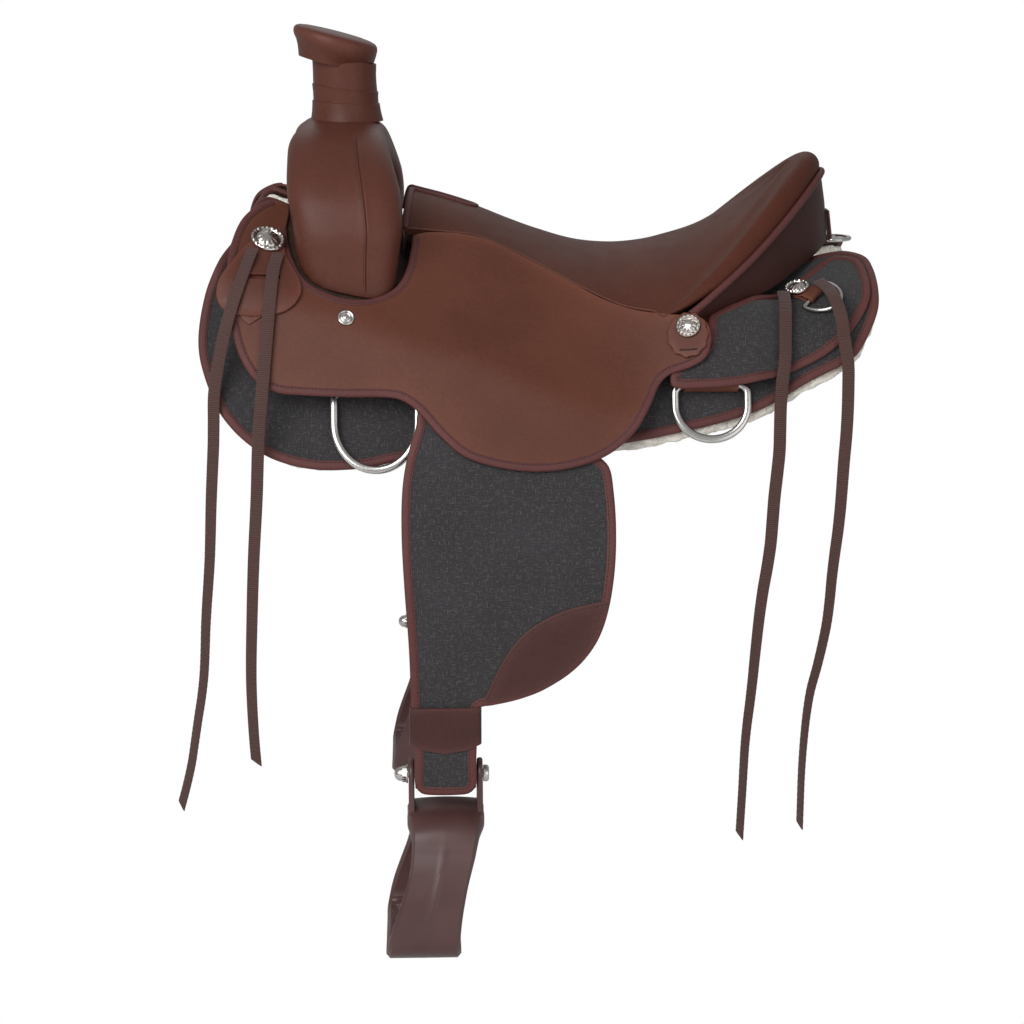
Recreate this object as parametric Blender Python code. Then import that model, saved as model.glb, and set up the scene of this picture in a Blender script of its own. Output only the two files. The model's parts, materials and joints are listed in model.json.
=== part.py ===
"""Mule saddle with a swell fork, wrapped horn, padded seat, charcoal cloth skirts and moulded stirrups.

Metres, +Z up. +X points to the mule's tail and -Y to its near (left) side. The origin is where the
saddle rests on the back, at mid length. Leather and cloth pieces are drawn as flat patterns with two
coordinates, x along the mule and drop down its side, and are wrapped over the shape of its barrel.
"""

import math

import bmesh
import bpy
import numpy as np
from mathutils import Matrix, Vector

MM = 0.001
GAP = 0.6 * MM
FINE_GAP = 0.35 * MM
NEST_GAP = 0.9 * MM
FOOT_GAP = 2 * MM

# Shape of the mule's barrel: station x, start of the slope from the spine (y, z) and its angle.
BARREL_STATIONS = (
    (-340, 45, 178, 38),
    (-250, 45, 140, 35),
    (-120, 45, 86, 26),
    (0, 45, 50, 23),
    (140, 45, 56, 20),
    (280, 45, 84, 20),
    (340, 45, 100, 19),
)
FLANK_HALF_WIDTH = 176.7 * MM
FLANK_ANGLE = math.radians(68)
BARREL_BEND = 70 * MM

# Outer surface of the seat side, from its seam to its lobes, at the same stations.
SEAT_STATIONS = (
    (-300, 48, 184, 37),
    (-200, 70, 136, 34),
    (-120, 88, 120, 40),
    (-60, 86, 112, 40),
    (0, 104, 86, 42),
    (75, 148, 53, 50),
    (150, 180, 47, 60),
    (200, 188, 39, 64),
)

# Thicknesses of the stack on the side, from the mule outwards.
FLEECE = 12 * MM
SKIRT = 4.2 * MM
BAR = 16.2 * MM
BAR_LOBE_LIFT = 10.3 * MM
STRAP = 3.2 * MM
PLY_GAP = 0.4 * MM
FENDER = 3 * MM
JOCKEY = 3 * MM
JOCKEY_CLEARANCE = 2.1 * MM

# Rigging rings.
DEE_WIRE = 7.6 * MM
FRONT_DEE_WIDTH = 87 * MM
FRONT_DEE_HEIGHT = 84 * MM
REAR_DEE_WIDTH = 77 * MM
REAR_DEE_HEIGHT = 60 * MM
FRONT_DEE_X = -161.5 * MM
REAR_DEE_X = 158.5 * MM
FRONT_DEE_DROP = 26 * MM
REAR_DEE_DROP = 22.5 * MM
RIGGING_LEATHER = 2.6 * MM
RIGGING_WIDTH = 58 * MM

# Fender and stirrup.
STRAP_WIDTH = 58 * MM
SWING_X = -75 * MM
SWING_DROP = 34 * MM
NECK_X = -98 * MM
NECK_DROP = 330 * MM
HANG_START = 125 * MM
HANG_BEND = 500 * MM
BOLT_DROP = 391 * MM
BOLT_HEIGHT = 14 * MM
ROLLER_RADIUS = 11 * MM
BOLT_RADIUS = 4 * MM
EAR = 5.5 * MM
EAR_RADIUS = 15 * MM
EAR_FOOT = 20 * MM
EAR_X = STRAP_WIDTH / 2 + 0.8 * MM
STIRRUP_INSIDE = 127 * MM
TREAD_DEPTH = 71 * MM
STIRRUP_DROP = 160 * MM
STIRRUP_SLANT = 18 * MM

HORN_X = -195 * MM
HORN_NECK_RADIUS = 34 * MM
HORN_CAP_RADIUS = 42 * MM
HORN_CAP_THICKNESS = 21 * MM
HORN_CAP_TILT = math.radians(14.5)
HORN_CAP_CENTRE = (-201 * MM, 296 * MM)
HORN_STEM_RADIUS = 15 * MM
HORN_SIDES = 12
COVER_LEATHER = 3 * MM

CANTLE_LEATHER = 3 * MM
CANTLE_BOARD = 16 * MM
ROLL_RADIUS = 14 * MM
CANTLE_HALF_WIDTH = 172 * MM
CREST_X = 282 * MM
CREST_HEIGHT = 189 * MM
CREST_FORWARD = 140 * MM
CREST_FALL = 124.6 * MM
CREST_FLAT = 0.564
PAD = 13 * MM
PAD_THINNING = 6.5 * MM
GROUND_SEAT = 5 * MM
SPLIT_HALF_WIDTH = 12 * MM
SPLIT_END = -62 * MM

CONCHO_RADIUS = 17 * MM
SEAT_CONCHO_RADIUS = 12 * MM
REAR_CONCHO_RADIUS = 12 * MM
STRING_RADIUS = 3 * MM
STRING_POINTS = 20

LINES_X = 60 * MM
LINES_DROP = 36 * MM

BROWN = (0.098, 0.044, 0.031)
BINDING_BROWN = (0.142, 0.053, 0.051)
CHARCOAL = (0.046, 0.043, 0.041)
WOOL = (0.72, 0.66, 0.55)
WOOD = (0.42, 0.27, 0.14)
STEEL = (0.62, 0.62, 0.60)
SILVER = (0.70, 0.68, 0.64)
STIRRUP_BROWN = (0.085, 0.044, 0.043)
STRING_BROWN = (0.078, 0.032, 0.026)

SIDES = (("near", -1), ("off", 1))


def clear_scene():
    for item in list(bpy.data.objects):
        bpy.data.objects.remove(item, do_unlink=True)


def material(name, colour, roughness, metallic=0.0):
    found = bpy.data.materials.get(name)
    if found:
        return found
    made = bpy.data.materials.new(name)
    made.use_nodes = True
    shader = made.node_tree.nodes["Principled BSDF"]
    shader.inputs["Base Color"].default_value = (*colour, 1.0)
    shader.inputs["Roughness"].default_value = roughness
    shader.inputs["Metallic"].default_value = metallic
    made.diffuse_color = (*colour, 1.0)
    return made


def leather():
    return material("brown_leather", BROWN, 0.45)


def binding_leather():
    return material("binding_leather", BINDING_BROWN, 0.5)


def cloth():
    return material("charcoal_cloth", CHARCOAL, 0.9)


def wool():
    return material("fleece_wool", WOOL, 0.95)


def wood():
    return material("tree_wood", WOOD, 0.7)


def steel():
    return material("stainless_steel", STEEL, 0.25, 1.0)


def silver():
    return material("engraved_silver", SILVER, 0.3, 1.0)


def plastic():
    return material("stirrup_plastic", STIRRUP_BROWN, 0.4)


def webbing():
    return material("string_webbing", STRING_BROWN, 0.8)


def smooth_through(places, values, place):
    """Cubic through the values at the places, with end slopes carried on straight."""
    last = len(places) - 1

    def slope(index):
        before, after = max(index - 1, 0), min(index + 1, last)
        return (values[after] - values[before]) / (places[after] - places[before])

    if place <= places[0]:
        return values[0] + slope(0) * (place - places[0])
    if place >= places[last]:
        return values[last] + slope(last) * (place - places[last])
    index = max(i for i in range(last) if places[i] <= place)
    step = places[index + 1] - places[index]
    t = (place - places[index]) / step
    return (
        (2 * t**3 - 3 * t**2 + 1) * values[index]
        + (t**3 - 2 * t**2 + t) * step * slope(index)
        + (3 * t**2 - 2 * t**3) * values[index + 1]
        + (t**3 - t**2) * step * slope(index + 1)
    )


def ease(low, high, value):
    t = min(max((value - low) / (high - low), 0.0), 1.0)
    return t * t * (3 - 2 * t)


class Drape:
    """A surface over the barrel: a straight slope, a round bend and a flat flank, cross-section by
    cross-section. drop is measured down the flank from z = 0, and goes on up round the bend."""

    def __init__(self, stations, outward, flat_from):
        self.places = [MM * row[0] for row in stations]
        self.columns = [[MM * row[k] for row in stations] for k in (1, 2)]
        self.columns.append([math.radians(row[3]) for row in stations])
        self.flank_y = FLANK_HALF_WIDTH + outward / math.sin(FLANK_ANGLE)
        self.flat_from = flat_from
        self.kept = {}

    def cuts(self, low, high):
        """The grid lines and their diagonals between two corners of a pattern, as (point, normal) pairs."""
        found = []
        last = math.floor(self.flat_from / LINES_DROP) * LINES_DROP
        columns = range(math.ceil(low[0] / LINES_X + 0.01), math.floor(high[0] / LINES_X - 0.01) + 1)
        found += [((k * LINES_X, 0, 0), (1, 0, 0)) for k in columns]
        lowest = min(high[1], last)
        rows = range(math.ceil(low[1] / LINES_DROP + 0.01), math.floor(lowest / LINES_DROP + 0.01) + 1)
        found += [((0, k * LINES_DROP, 0), (0, 1, 0)) for k in rows]
        first = math.floor(low[0] / LINES_X - high[1] / LINES_DROP)
        final = math.ceil(high[0] / LINES_X - low[1] / LINES_DROP)
        normal = Vector((1 / LINES_X, -1 / LINES_DROP, 0)).normalized()
        found += [((k * LINES_X, 0, 0), normal) for k in range(first, final + 1)]
        return found

    def section(self, x):
        key = round(x, 6)
        if key not in self.kept:
            y, z, angle = (smooth_through(self.places, c, x) for c in self.columns)
            reach = self.flank_y - z / math.tan(FLANK_ANGLE) - y
            run = reach / (math.cos(angle) - math.sin(angle) / math.tan(FLANK_ANGLE))
            half = (FLANK_ANGLE - angle) / 2
            cut = min(BARREL_BEND * math.tan(half), 0.95 * run)
            radius = cut / math.tan(half)
            straight = run - cut
            arc = 2 * half * radius
            end_z = z - straight * math.sin(angle) - radius * (math.cos(angle) - math.cos(FLANK_ANGLE))
            self.kept[key] = (y, z, angle, radius, straight, arc, end_z)
        return self.kept[key]

    def top(self, x):
        """The drop at which the surface starts beside the spine."""
        straight, arc, end_z = self.section(x)[4:]
        return -end_z / math.sin(FLANK_ANGLE) - straight - arc

    def exact(self, x, drop, height):
        y, z, angle, radius, straight, arc = self.section(x)[:6]
        along = drop - self.top(x)
        slope = angle + min(max((along - straight) / radius, 0.0), FLANK_ANGLE - angle)
        first = min(along, straight)
        y += first * math.cos(angle) + radius * (math.sin(slope) - math.sin(angle))
        z -= first * math.sin(angle) + radius * (math.cos(angle) - math.cos(slope))
        rest = max(along - straight - arc, 0.0)
        y += rest * math.cos(FLANK_ANGLE) + height * math.sin(slope)
        z += height * math.cos(slope) - rest * math.sin(FLANK_ANGLE)
        return np.array((x, y, z))

    def point(self, x, drop, height):
        """The surface as flat facets on one grid, so that pieces in neighbouring layers nest."""
        column, row = math.floor(x / LINES_X), math.floor(drop / LINES_DROP)
        s, t = x / LINES_X - column, drop / LINES_DROP - row
        corners = [
            self.exact((column + i) * LINES_X, (row + j) * LINES_DROP, height)
            for i in (0, 1)
            for j in (0, 1)
        ]
        if s >= t:
            return (1 - s) * corners[0] + (s - t) * corners[2] + t * corners[3]
        return (1 - t) * corners[0] + (t - s) * corners[1] + s * corners[3]


class Hang:
    """The flat flank, which then bends until it hangs plumb, as a fender does."""

    flat_from = math.inf

    def cuts(self, low, high):
        """The lines on which the surface or the fender's bulge starts to bend."""
        return [((0, drop, 0), (0, 1, 0)) for drop in HANG_LINES + BULGE_LINES if low[1] < drop < high[1]]

    def exact(self, x, drop, height):
        bent = min(max((drop - HANG_START) / HANG_BEND, 0.0), math.pi / 2 - FLANK_ANGLE)
        angle = FLANK_ANGLE + bent
        first = min(drop, HANG_START)
        rest = max(drop - HANG_START - HANG_BEND * (math.pi / 2 - FLANK_ANGLE), 0.0)
        y = FLANK_HALF_WIDTH + first * math.cos(FLANK_ANGLE)
        y += HANG_BEND * (math.sin(angle) - math.sin(FLANK_ANGLE)) + height * math.sin(angle)
        z = -first * math.sin(FLANK_ANGLE) - rest
        z += height * math.cos(angle) - HANG_BEND * (math.cos(FLANK_ANGLE) - math.cos(angle))
        return np.array((x, y, z))

    point = exact


HANG_ARC = HANG_BEND * (math.pi / 2 - FLANK_ANGLE)
HANG_LINES = tuple(HANG_START + quarter * HANG_ARC / 4 for quarter in range(5))
BULGE_LINES = (BOLT_DROP - 34 * MM, BOLT_DROP - 16 * MM)

# Heights of the layers above the fleece, in the order in which they lie.
BAR_LOW = SKIRT + NEST_GAP
BAR_HIGH = BAR_LOW + BAR
OUTER_PLY = BAR_HIGH + 1.0 * MM + STRAP / 2
INNER_PLY = OUTER_PLY - STRAP - PLY_GAP
UNDER_PLY = SKIRT + 0.8 * MM + STRAP / 2
FENDER_LOW = OUTER_PLY + STRAP / 2 + GAP
FENDER_HIGH = FENDER_LOW + FENDER
SEAT_OUTWARD = FENDER_HIGH + JOCKEY_CLEARANCE
DEE_HOOK = DEE_WIRE / 2 + 0.4 * MM + RIGGING_LEATHER / 2
DEE_HEIGHT = SKIRT + GAP + RIGGING_LEATHER / 2 + DEE_HOOK
REAR_JOCKEY_RAISED = DEE_HEIGHT + DEE_HOOK + RIGGING_LEATHER / 2 + 3.5 * NEST_GAP
REAR_JOCKEY_LOW = SKIRT + NEST_GAP

BARREL = Drape(BARREL_STATIONS, 0.0, LINES_DROP + 1 * MM)
SEAT = Drape(SEAT_STATIONS, SEAT_OUTWARD, 2 * LINES_DROP + 1 * MM)
HANG = Hang()


def add(name, mesh, finish, smooth=None):
    """Makes an object of a bmesh, its faces turned outwards."""
    bmesh.ops.recalc_face_normals(mesh, faces=mesh.faces[:])
    data = bpy.data.meshes.new(name)
    mesh.to_mesh(data)
    mesh.free()
    data.materials.append(finish)
    if smooth:
        data.shade_smooth()
        data.set_sharp_from_angle(angle=math.radians(smooth))
    made = bpy.data.objects.new(name, data)
    bpy.context.scene.collection.objects.link(made)
    return made


def mirrored(point, side):
    return (float(point[0]), float(side * point[1]), float(point[2]))


def level(height, x, drop):
    return height(x, drop) if callable(height) else height


def flap(name, outline, low, high, surface, side, finish):
    """A sheet piece: its flat outline is filled, cut along the surface's lines and laid on it."""
    mesh = bmesh.new()
    mesh.faces.new([mesh.verts.new((x, drop, 0)) for x, drop in outline])
    for place, normal in surface.cuts(np.min(outline, axis=0), np.max(outline, axis=0)):
        crosswise = normal[0] == 1
        faces = [face for face in mesh.faces if crosswise or face.calc_center_median().y < surface.flat_from]
        parts = list({part for face in faces for part in (*face.verts, *face.edges)}) + faces
        bmesh.ops.bisect_plane(mesh, geom=parts, plane_co=place, plane_no=normal, dist=0.05 * MM)
    bmesh.ops.remove_doubles(mesh, verts=mesh.verts[:], dist=0.3 * MM)
    bmesh.ops.triangulate(mesh, faces=mesh.faces[:])
    rim = [edge for edge in mesh.edges if edge.is_boundary]
    faces = [face.verts[:] for face in mesh.faces]
    flat = [(vert, vert.co.x, vert.co.y) for vert in mesh.verts]
    upper = {}
    for vert, x, drop in flat:
        place = surface.point(x, drop, level(high, x, drop))
        upper[vert] = mesh.verts.new(mirrored(place, side))
        vert.co = mirrored(surface.point(x, drop, level(low, x, drop)), side)
    for corners in faces:
        mesh.faces.new([upper[vert] for vert in corners])
    for edge in rim:
        first, second = edge.verts
        mesh.faces.new((first, second, upper[second], upper[first]))
    bmesh.ops.triangulate(mesh, faces=mesh.faces[:])
    return add(name, mesh, finish, 30)


def cap(mesh, row, paired):
    """Closes the end of a skin; paired closes it with quads between the two long sides of its outline."""
    if not paired:
        mesh.faces.new(row)
        return
    for i in range(len(row) // 2 - 1):
        mesh.faces.new((row[i], row[i + 1], row[-2 - i], row[-1 - i]))


def loft(name, rings, finish, smooth=40, turned=False, paired=False):
    """Joins rings of equal count into one skin. turned joins the last ring back to the first."""
    mesh = bmesh.new()
    rows = [[mesh.verts.new(tuple(map(float, place))) for place in ring] for ring in rings]
    count = len(rows[0])
    pairs = list(zip(rows, rows[1:]))
    if turned:
        pairs.append((rows[-1], rows[0]))
    for before, after in pairs:
        for i in range(count):
            j = (i + 1) % count
            mesh.faces.new((before[i], before[j], after[j], after[i]))
    if not turned:
        cap(mesh, rows[0], paired)
        cap(mesh, rows[-1], paired)
    bmesh.ops.triangulate(mesh, faces=mesh.faces[:])
    return add(name, mesh, finish, smooth)


def arc(centre, radius, start, end, count):
    """Points on a circle from one angle to another, in degrees."""
    angles = np.radians(np.linspace(start, end, count))
    return [(centre[0] + radius * math.cos(a), centre[1] + radius * math.sin(a)) for a in angles]


def thickened(path, thickness):
    """The outline of a strip of this thickness along a path in one plane."""
    places = np.array(path)
    along = np.gradient(places, axis=0)
    along /= np.linalg.norm(along, axis=1)[:, None]
    across = np.column_stack((-along[:, 1], along[:, 0])) * thickness / 2
    return list(places + across) + list((places - across)[::-1])


def strip(name, path, thickness, width, middle, surface, side, finish, columns=2):
    """A strap: its path of (drop, height) points, thickened and carried across its width."""
    outline = thickened(path, thickness)
    rings = []
    for share in np.linspace(-0.5, 0.5, columns):
        places = [surface.exact(middle(drop) + share * width, drop, height) for drop, height in outline]
        rings.append([mirrored(place, side) for place in places])
    return loft(name, rings, finish, paired=True)


def frame_at(surface, x, drop, height, side, turn=0.0):
    """A matrix whose Z axis stands off the surface's facet, with X turned from the mule's length."""
    step = 1 * MM
    place = surface.point(x, drop, height)
    ahead = Vector(mirrored(surface.point(x + step, drop, height) - place, side)).normalized()
    down = Vector(mirrored(surface.point(x, drop + step, height) - place, side)).normalized()
    outward = down.cross(ahead).normalized() * -side
    first = (ahead * math.cos(turn) + down * math.sin(turn)).normalized()
    second = outward.cross(first)
    basis = Matrix((first, second, outward)).transposed().to_4x4()
    return Matrix.Translation(Vector(mirrored(place, side))) @ basis


def turned_piece(name, profile, frame, finish, count=12):
    """A solid of revolution: (radius, height) points from the lower middle to the upper middle."""
    mesh = bmesh.new()
    rows = []
    for radius, height in profile:
        if radius == 0:
            rows.append([mesh.verts.new(frame @ Vector((0, 0, height)))])
            continue
        ring = [2 * math.pi * k / count for k in range(count)]
        places = [Vector((radius * math.cos(a), radius * math.sin(a), height)) for a in ring]
        rows.append([mesh.verts.new(frame @ place) for place in places])
    for before, after in zip(rows, rows[1:]):
        for i in range(count):
            j = (i + 1) % count
            corners = [before[i % len(before)], before[j % len(before)]]
            corners += [after[j % len(after)], after[i % len(after)]]
            unique = [c for k, c in enumerate(corners) if c not in corners[:k]]
            if len(unique) > 2:
                mesh.faces.new(unique)
    bmesh.ops.triangulate(mesh, faces=mesh.faces[:])
    return add(name, mesh, finish, 35)


def wire(name, places, radius, finish, closed=True, sides=2):
    """A round bar or string along a path."""
    curve = bpy.data.curves.new(name, "CURVE")
    curve.dimensions = "3D"
    curve.bevel_depth = radius
    curve.bevel_resolution = sides
    curve.use_fill_caps = True
    spline = curve.splines.new("POLY")
    spline.points.add(len(places) - 1)
    for point, place in zip(spline.points, places):
        point.co = (*place, 1.0)
    spline.use_cyclic_u = closed
    curve.materials.append(finish)
    made = bpy.data.objects.new(name, curve)
    bpy.context.scene.collection.objects.link(made)
    return made


def boolean(target, cutter, operation="DIFFERENCE"):
    cutter.hide_render = True
    cutter.display_type = "WIRE"
    change = target.modifiers.new(operation.lower(), "BOOLEAN")
    change.operation = operation
    change.object = cutter
    change.solver = "EXACT"
    change.use_self = operation == "UNION"


def pivot(name, place, parent=None):
    empty = bpy.data.objects.new(name, None)
    empty.empty_display_size = 0.02
    empty.location = place
    bpy.context.scene.collection.objects.link(empty)
    if parent:
        attach(empty, parent)
    return empty


def attach(piece, parent):
    """Parents a piece and leaves it where it is."""
    bpy.context.view_layer.update()
    piece.parent = parent
    piece.matrix_parent_inverse = parent.matrix_world.inverted()


def in_metres(points):
    return [(MM * x, MM * y) for x, y in points]


def skirt_outline(shrink=0.0):
    """The skirt's pattern: its rounded front, its lower edge, and the rear corner."""
    edge = in_metres((
        (-271, -200), (-287, -165), (-299, -130), (-314, -98), (-324, -70), (-330, -30),
        (-327, -1), (-312, 40), (-298, 60), (-281, 76), (-262, 88), (-239, 96), (-215, 100),
        (-191, 100), (-168, 98), (-139, 92), (-25, 88), (71, 77), (156, 60), (200, 47),
        (221, 37), (255, 17), (287, 1), (301, -9), (314, -31), (323, -53), (326, -75),
        (327, -120), (322, -148),
    ))
    middle = np.array((-0.01, -0.06))
    outline = []
    for place in edge:
        away = np.array(place) - middle
        outline.append(tuple(np.array(place) - shrink * away / np.linalg.norm(away)))
    return outline + spine_edge(300 * MM, -250 * MM, 2 * MM + shrink)


def spine_edge(rear, front, clearance):
    """The edge of a pattern beside the spine, with a corner on each grid line."""
    lines = range(math.floor(rear / LINES_X), math.ceil(front / LINES_X) - 1, -1)
    return [(line * LINES_X, BARREL.top(line * LINES_X) + clearance) for line in lines]


def rear_jockey_lift(x, drop):
    """The rear jockey stands over the ring at its front and comes down on the skirt behind it."""
    down = ease(200 * MM, 242 * MM, x)
    return REAR_JOCKEY_RAISED + (REAR_JOCKEY_LOW - REAR_JOCKEY_RAISED) * down


def make_skirt_side(word, side):
    flap(f"fleece_{word}", skirt_outline(1.5 * MM), -FLEECE, -GAP, BARREL, side, wool())
    flap(f"skirt_{word}", skirt_outline(), 0.0, SKIRT, BARREL, side, cloth())
    outline = in_metres((
        (120, 25), (148, 27), (186, 24), (215, 17), (244, 6), (269, -7), (289, -23),
        (304, -40), (314, -58), (318, -75), (319, -106), (315, -134), (303, -146), (290, -148),
        (262, -119), (232, -85), (200, -60), (163, -40), (160, -33), (157, -16), (152, -6), (128, 2),
    ))

    def above(x, drop):
        return rear_jockey_lift(x, drop) + JOCKEY

    flap(f"rear_jockey_{word}", outline, rear_jockey_lift, above, BARREL, side, cloth())


def bar_bottom(x, drop):
    """The bar bears on the skirt above, and stands clear of the strap's under ply at its lobe."""
    reach = ease(-130 * MM, -116 * MM, x) * (1 - ease(-34 * MM, -20 * MM, x))
    return BAR_LOW + (BAR_LOBE_LIFT - BAR_LOW) * reach * ease(-22 * MM, -2 * MM, drop)


def make_bar(word, side):
    lobe_front, lobe_rear = SWING_X - 40 * MM, SWING_X + 42 * MM
    lobe_end = SWING_DROP + 12 * MM
    outline = in_metres(((-262, -150), (-268, -100), (-262, -50), (-240, -8), (-215, 10), (-200, 13)))
    outline += [(lobe_front, 13 * MM), (lobe_front, lobe_end), (lobe_rear, lobe_end)]
    outline += in_metres(((-15, 22), (20, -5), (70, -35), (110, -55), (150, -64), (200, -88), (232, -112)))
    outline += spine_edge(200 * MM, -250 * MM, 8 * MM)
    bar = flap(f"tree_bar_{word}", outline, bar_bottom, BAR_HIGH, BARREL, side, wood())
    flat = 11.2 * MM
    reach = STRAP_WIDTH / 2
    rest = SWING_DROP
    slot = [
        (SWING_X - reach - 5.5 * MM, rest - 27.5 * MM),
        (SWING_X + reach + 5.5 * MM, rest - 27.5 * MM),
        (SWING_X + reach + 5.5 * MM, rest + 0.8 * MM),
        (SWING_X + reach, rest - 1 * MM),
        (SWING_X + 3 * MM, rest - flat),
        (SWING_X - 3 * MM, rest - flat),
        (SWING_X - reach, rest - 1 * MM),
        (SWING_X - reach - 5.5 * MM, rest + 0.8 * MM),
    ]
    cutter = flap(f"slot_{word}", slot, -2 * MM, BAR_HIGH + 8 * MM, BARREL, side, wood())
    boolean(bar, cutter)


def dee_path(width, height, straight, corner=9 * MM):
    """The middle line of a D: its bar at the top, two arms, and a half ellipse below."""
    half = width / 2
    path = arc((half - corner, -corner), corner, 90, 0, 3)
    sweep = np.radians(np.linspace(0, -180, 8))
    path += [(half * math.cos(a), -straight + (height - straight) * math.sin(a)) for a in sweep]
    path += arc((corner - half, -corner), corner, 180, 90, 3)
    return path


def make_dee(name, x, drop, width, height, straight, side):
    """A D ring whose bar lies in its leather and whose round side hangs against the skirt."""
    lean = (DEE_HEIGHT - SKIRT - DEE_WIRE / 2 - GAP) / height
    across = DEE_WIRE
    places = []
    for along, up in dee_path(width - across, height - across, straight):
        place = HANG.exact(x + along, drop - up, DEE_HEIGHT + lean * up)
        places.append(mirrored(place, side))
    return wire(name, places, DEE_WIRE / 2, steel(), sides=1)


def make_rigging(word, side):
    """Each ring hangs in a strap that laps on the bar and turns round the ring's bar."""
    lap = BAR_HIGH + NEST_GAP + RIGGING_LEATHER / 2
    bar_edge = 13 * MM
    front = [(-14 * MM, lap), (-4 * MM, lap), (bar_edge - 5 * MM, lap + 0.3 * MM)]
    front += [(bar_edge + 3 * MM, lap - 1.2 * MM), (bar_edge + 8 * MM, lap - 4 * MM)]
    front += arc((FRONT_DEE_DROP, DEE_HEIGHT), DEE_HOOK, 90, -90, 7)
    front += [(FRONT_DEE_DROP - 5 * MM, DEE_HEIGHT - DEE_HOOK), (bar_edge + 3.5 * MM, DEE_HEIGHT - DEE_HOOK)]

    def front_middle(drop):
        return FRONT_DEE_X

    def rear_middle(drop):
        return REAR_DEE_X

    strip(f"front_rigging_leather_{word}", front, RIGGING_LEATHER, RIGGING_WIDTH, front_middle,
          BARREL, side, leather())
    width = RIGGING_WIDTH - 6 * MM
    run = DEE_HEIGHT + DEE_HOOK
    low = DEE_HEIGHT - DEE_HOOK
    rear = [(-46 * MM, run), (-LINES_DROP, run), (0, run), (13 * MM, run)]
    rear += arc((REAR_DEE_DROP, DEE_HEIGHT), DEE_HOOK, 90, -90, 7)
    rear += [(13 * MM, low), (0, low), (-LINES_DROP, low), (-46 * MM, low)]
    strip(f"rear_rigging_leather_{word}", rear, RIGGING_LEATHER, width, rear_middle,
          BARREL, side, leather(), columns=3)
    front_dee = make_dee(f"front_dee_{word}", FRONT_DEE_X, FRONT_DEE_DROP, FRONT_DEE_WIDTH,
                         FRONT_DEE_HEIGHT, 32 * MM, side)
    rear_dee = make_dee(f"rear_dee_{word}", REAR_DEE_X, REAR_DEE_DROP, REAR_DEE_WIDTH,
                        REAR_DEE_HEIGHT, 20 * MM, side)
    for dee, x, drop in ((front_dee, FRONT_DEE_X, FRONT_DEE_DROP), (rear_dee, REAR_DEE_X, REAR_DEE_DROP)):
        attach(dee, pivot(dee.name + "_pivot", mirrored(HANG.exact(x, drop, DEE_HEIGHT), side)))


def strap_middle(drop):
    """The strap runs straight at the swing centre and slants to the stirrup."""
    share = min(max((drop - SWING_DROP) / (NECK_DROP - SWING_DROP), 0.0), 1.0)
    return SWING_X + (NECK_X - SWING_X) * share


def fender_low(x, drop):
    bulge = BOLT_HEIGHT + ROLLER_RADIUS + PLY_GAP + STRAP + GAP - FENDER_LOW
    share = (drop - BULGE_LINES[0]) / (BULGE_LINES[1] - BULGE_LINES[0])
    return FENDER_LOW + bulge * min(max(share, 0.0), 1.0)


def fender_high(x, drop):
    return fender_low(x, drop) + FENDER


def make_fender(word, side):
    """The fender hangs with its strap from the bar's rib, and carries the stirrup's bolt."""
    outline = in_metres((
        (-119, 50), (-123, 66), (-131, 93), (-136, 125), (-137, 165), (-135, 209), (-131, 267),
        (-129, 325), (-127, 360), (-127, 407), (-69, 407), (-69, 360), (-68, 320.5), (-53, 318.5),
        (-28, 313), (-4, 304), (24, 286), (43, 264), (54, 238), (61, 201), (63, 162), (61, 125), (57, 104),
        (44, 93), (10, 82), (-40, 60), (-70, 50),
    ))
    fender = flap(f"fender_{word}", outline, fender_low, fender_high, HANG, side, cloth())
    top = UNDER_PLY + (OUTER_PLY - UNDER_PLY) / 2
    loop = (OUTER_PLY - UNDER_PLY) / 2
    loop_drop = SWING_DROP - 8.7 * MM
    turn = ROLLER_RADIUS + PLY_GAP + STRAP / 2
    path = [(120 * MM, INNER_PLY), (94 * MM, INNER_PLY), (88 * MM, INNER_PLY - 1.5 * MM)]
    path += [(62 * MM, UNDER_PLY + 1.2 * MM), (54 * MM, UNDER_PLY), (40 * MM, UNDER_PLY)]
    path += arc((loop_drop, top), loop, -90, -270, 7)
    path += [(40 * MM, OUTER_PLY)] + [(drop, OUTER_PLY) for drop in HANG_LINES]
    path += [(BOLT_DROP - 32 * MM, OUTER_PLY), (BOLT_DROP - 14 * MM, BOLT_HEIGHT + turn - 0.6 * MM)]
    path += arc((BOLT_DROP, BOLT_HEIGHT), turn, 90, -90, 9)
    path += [(BOLT_DROP - 8 * MM, BOLT_HEIGHT - turn + 1.2 * MM), (BOLT_DROP - 30 * MM, INNER_PLY - 1 * MM)]
    path += [(BOLT_DROP - 37 * MM, INNER_PLY)]
    path += [(drop, INNER_PLY) for drop in HANG_LINES[:1:-1]]
    strap = strip(f"stirrup_leather_{word}", path, STRAP, STRAP_WIDTH, strap_middle, HANG, side, leather())
    hobble = make_hobble(word, side)
    swing = pivot(f"fender_{word}_pivot", mirrored(HANG.exact(SWING_X, SWING_DROP, FENDER_HIGH), side))
    for piece in (fender, strap, hobble):
        attach(piece, swing)
    return swing


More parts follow.
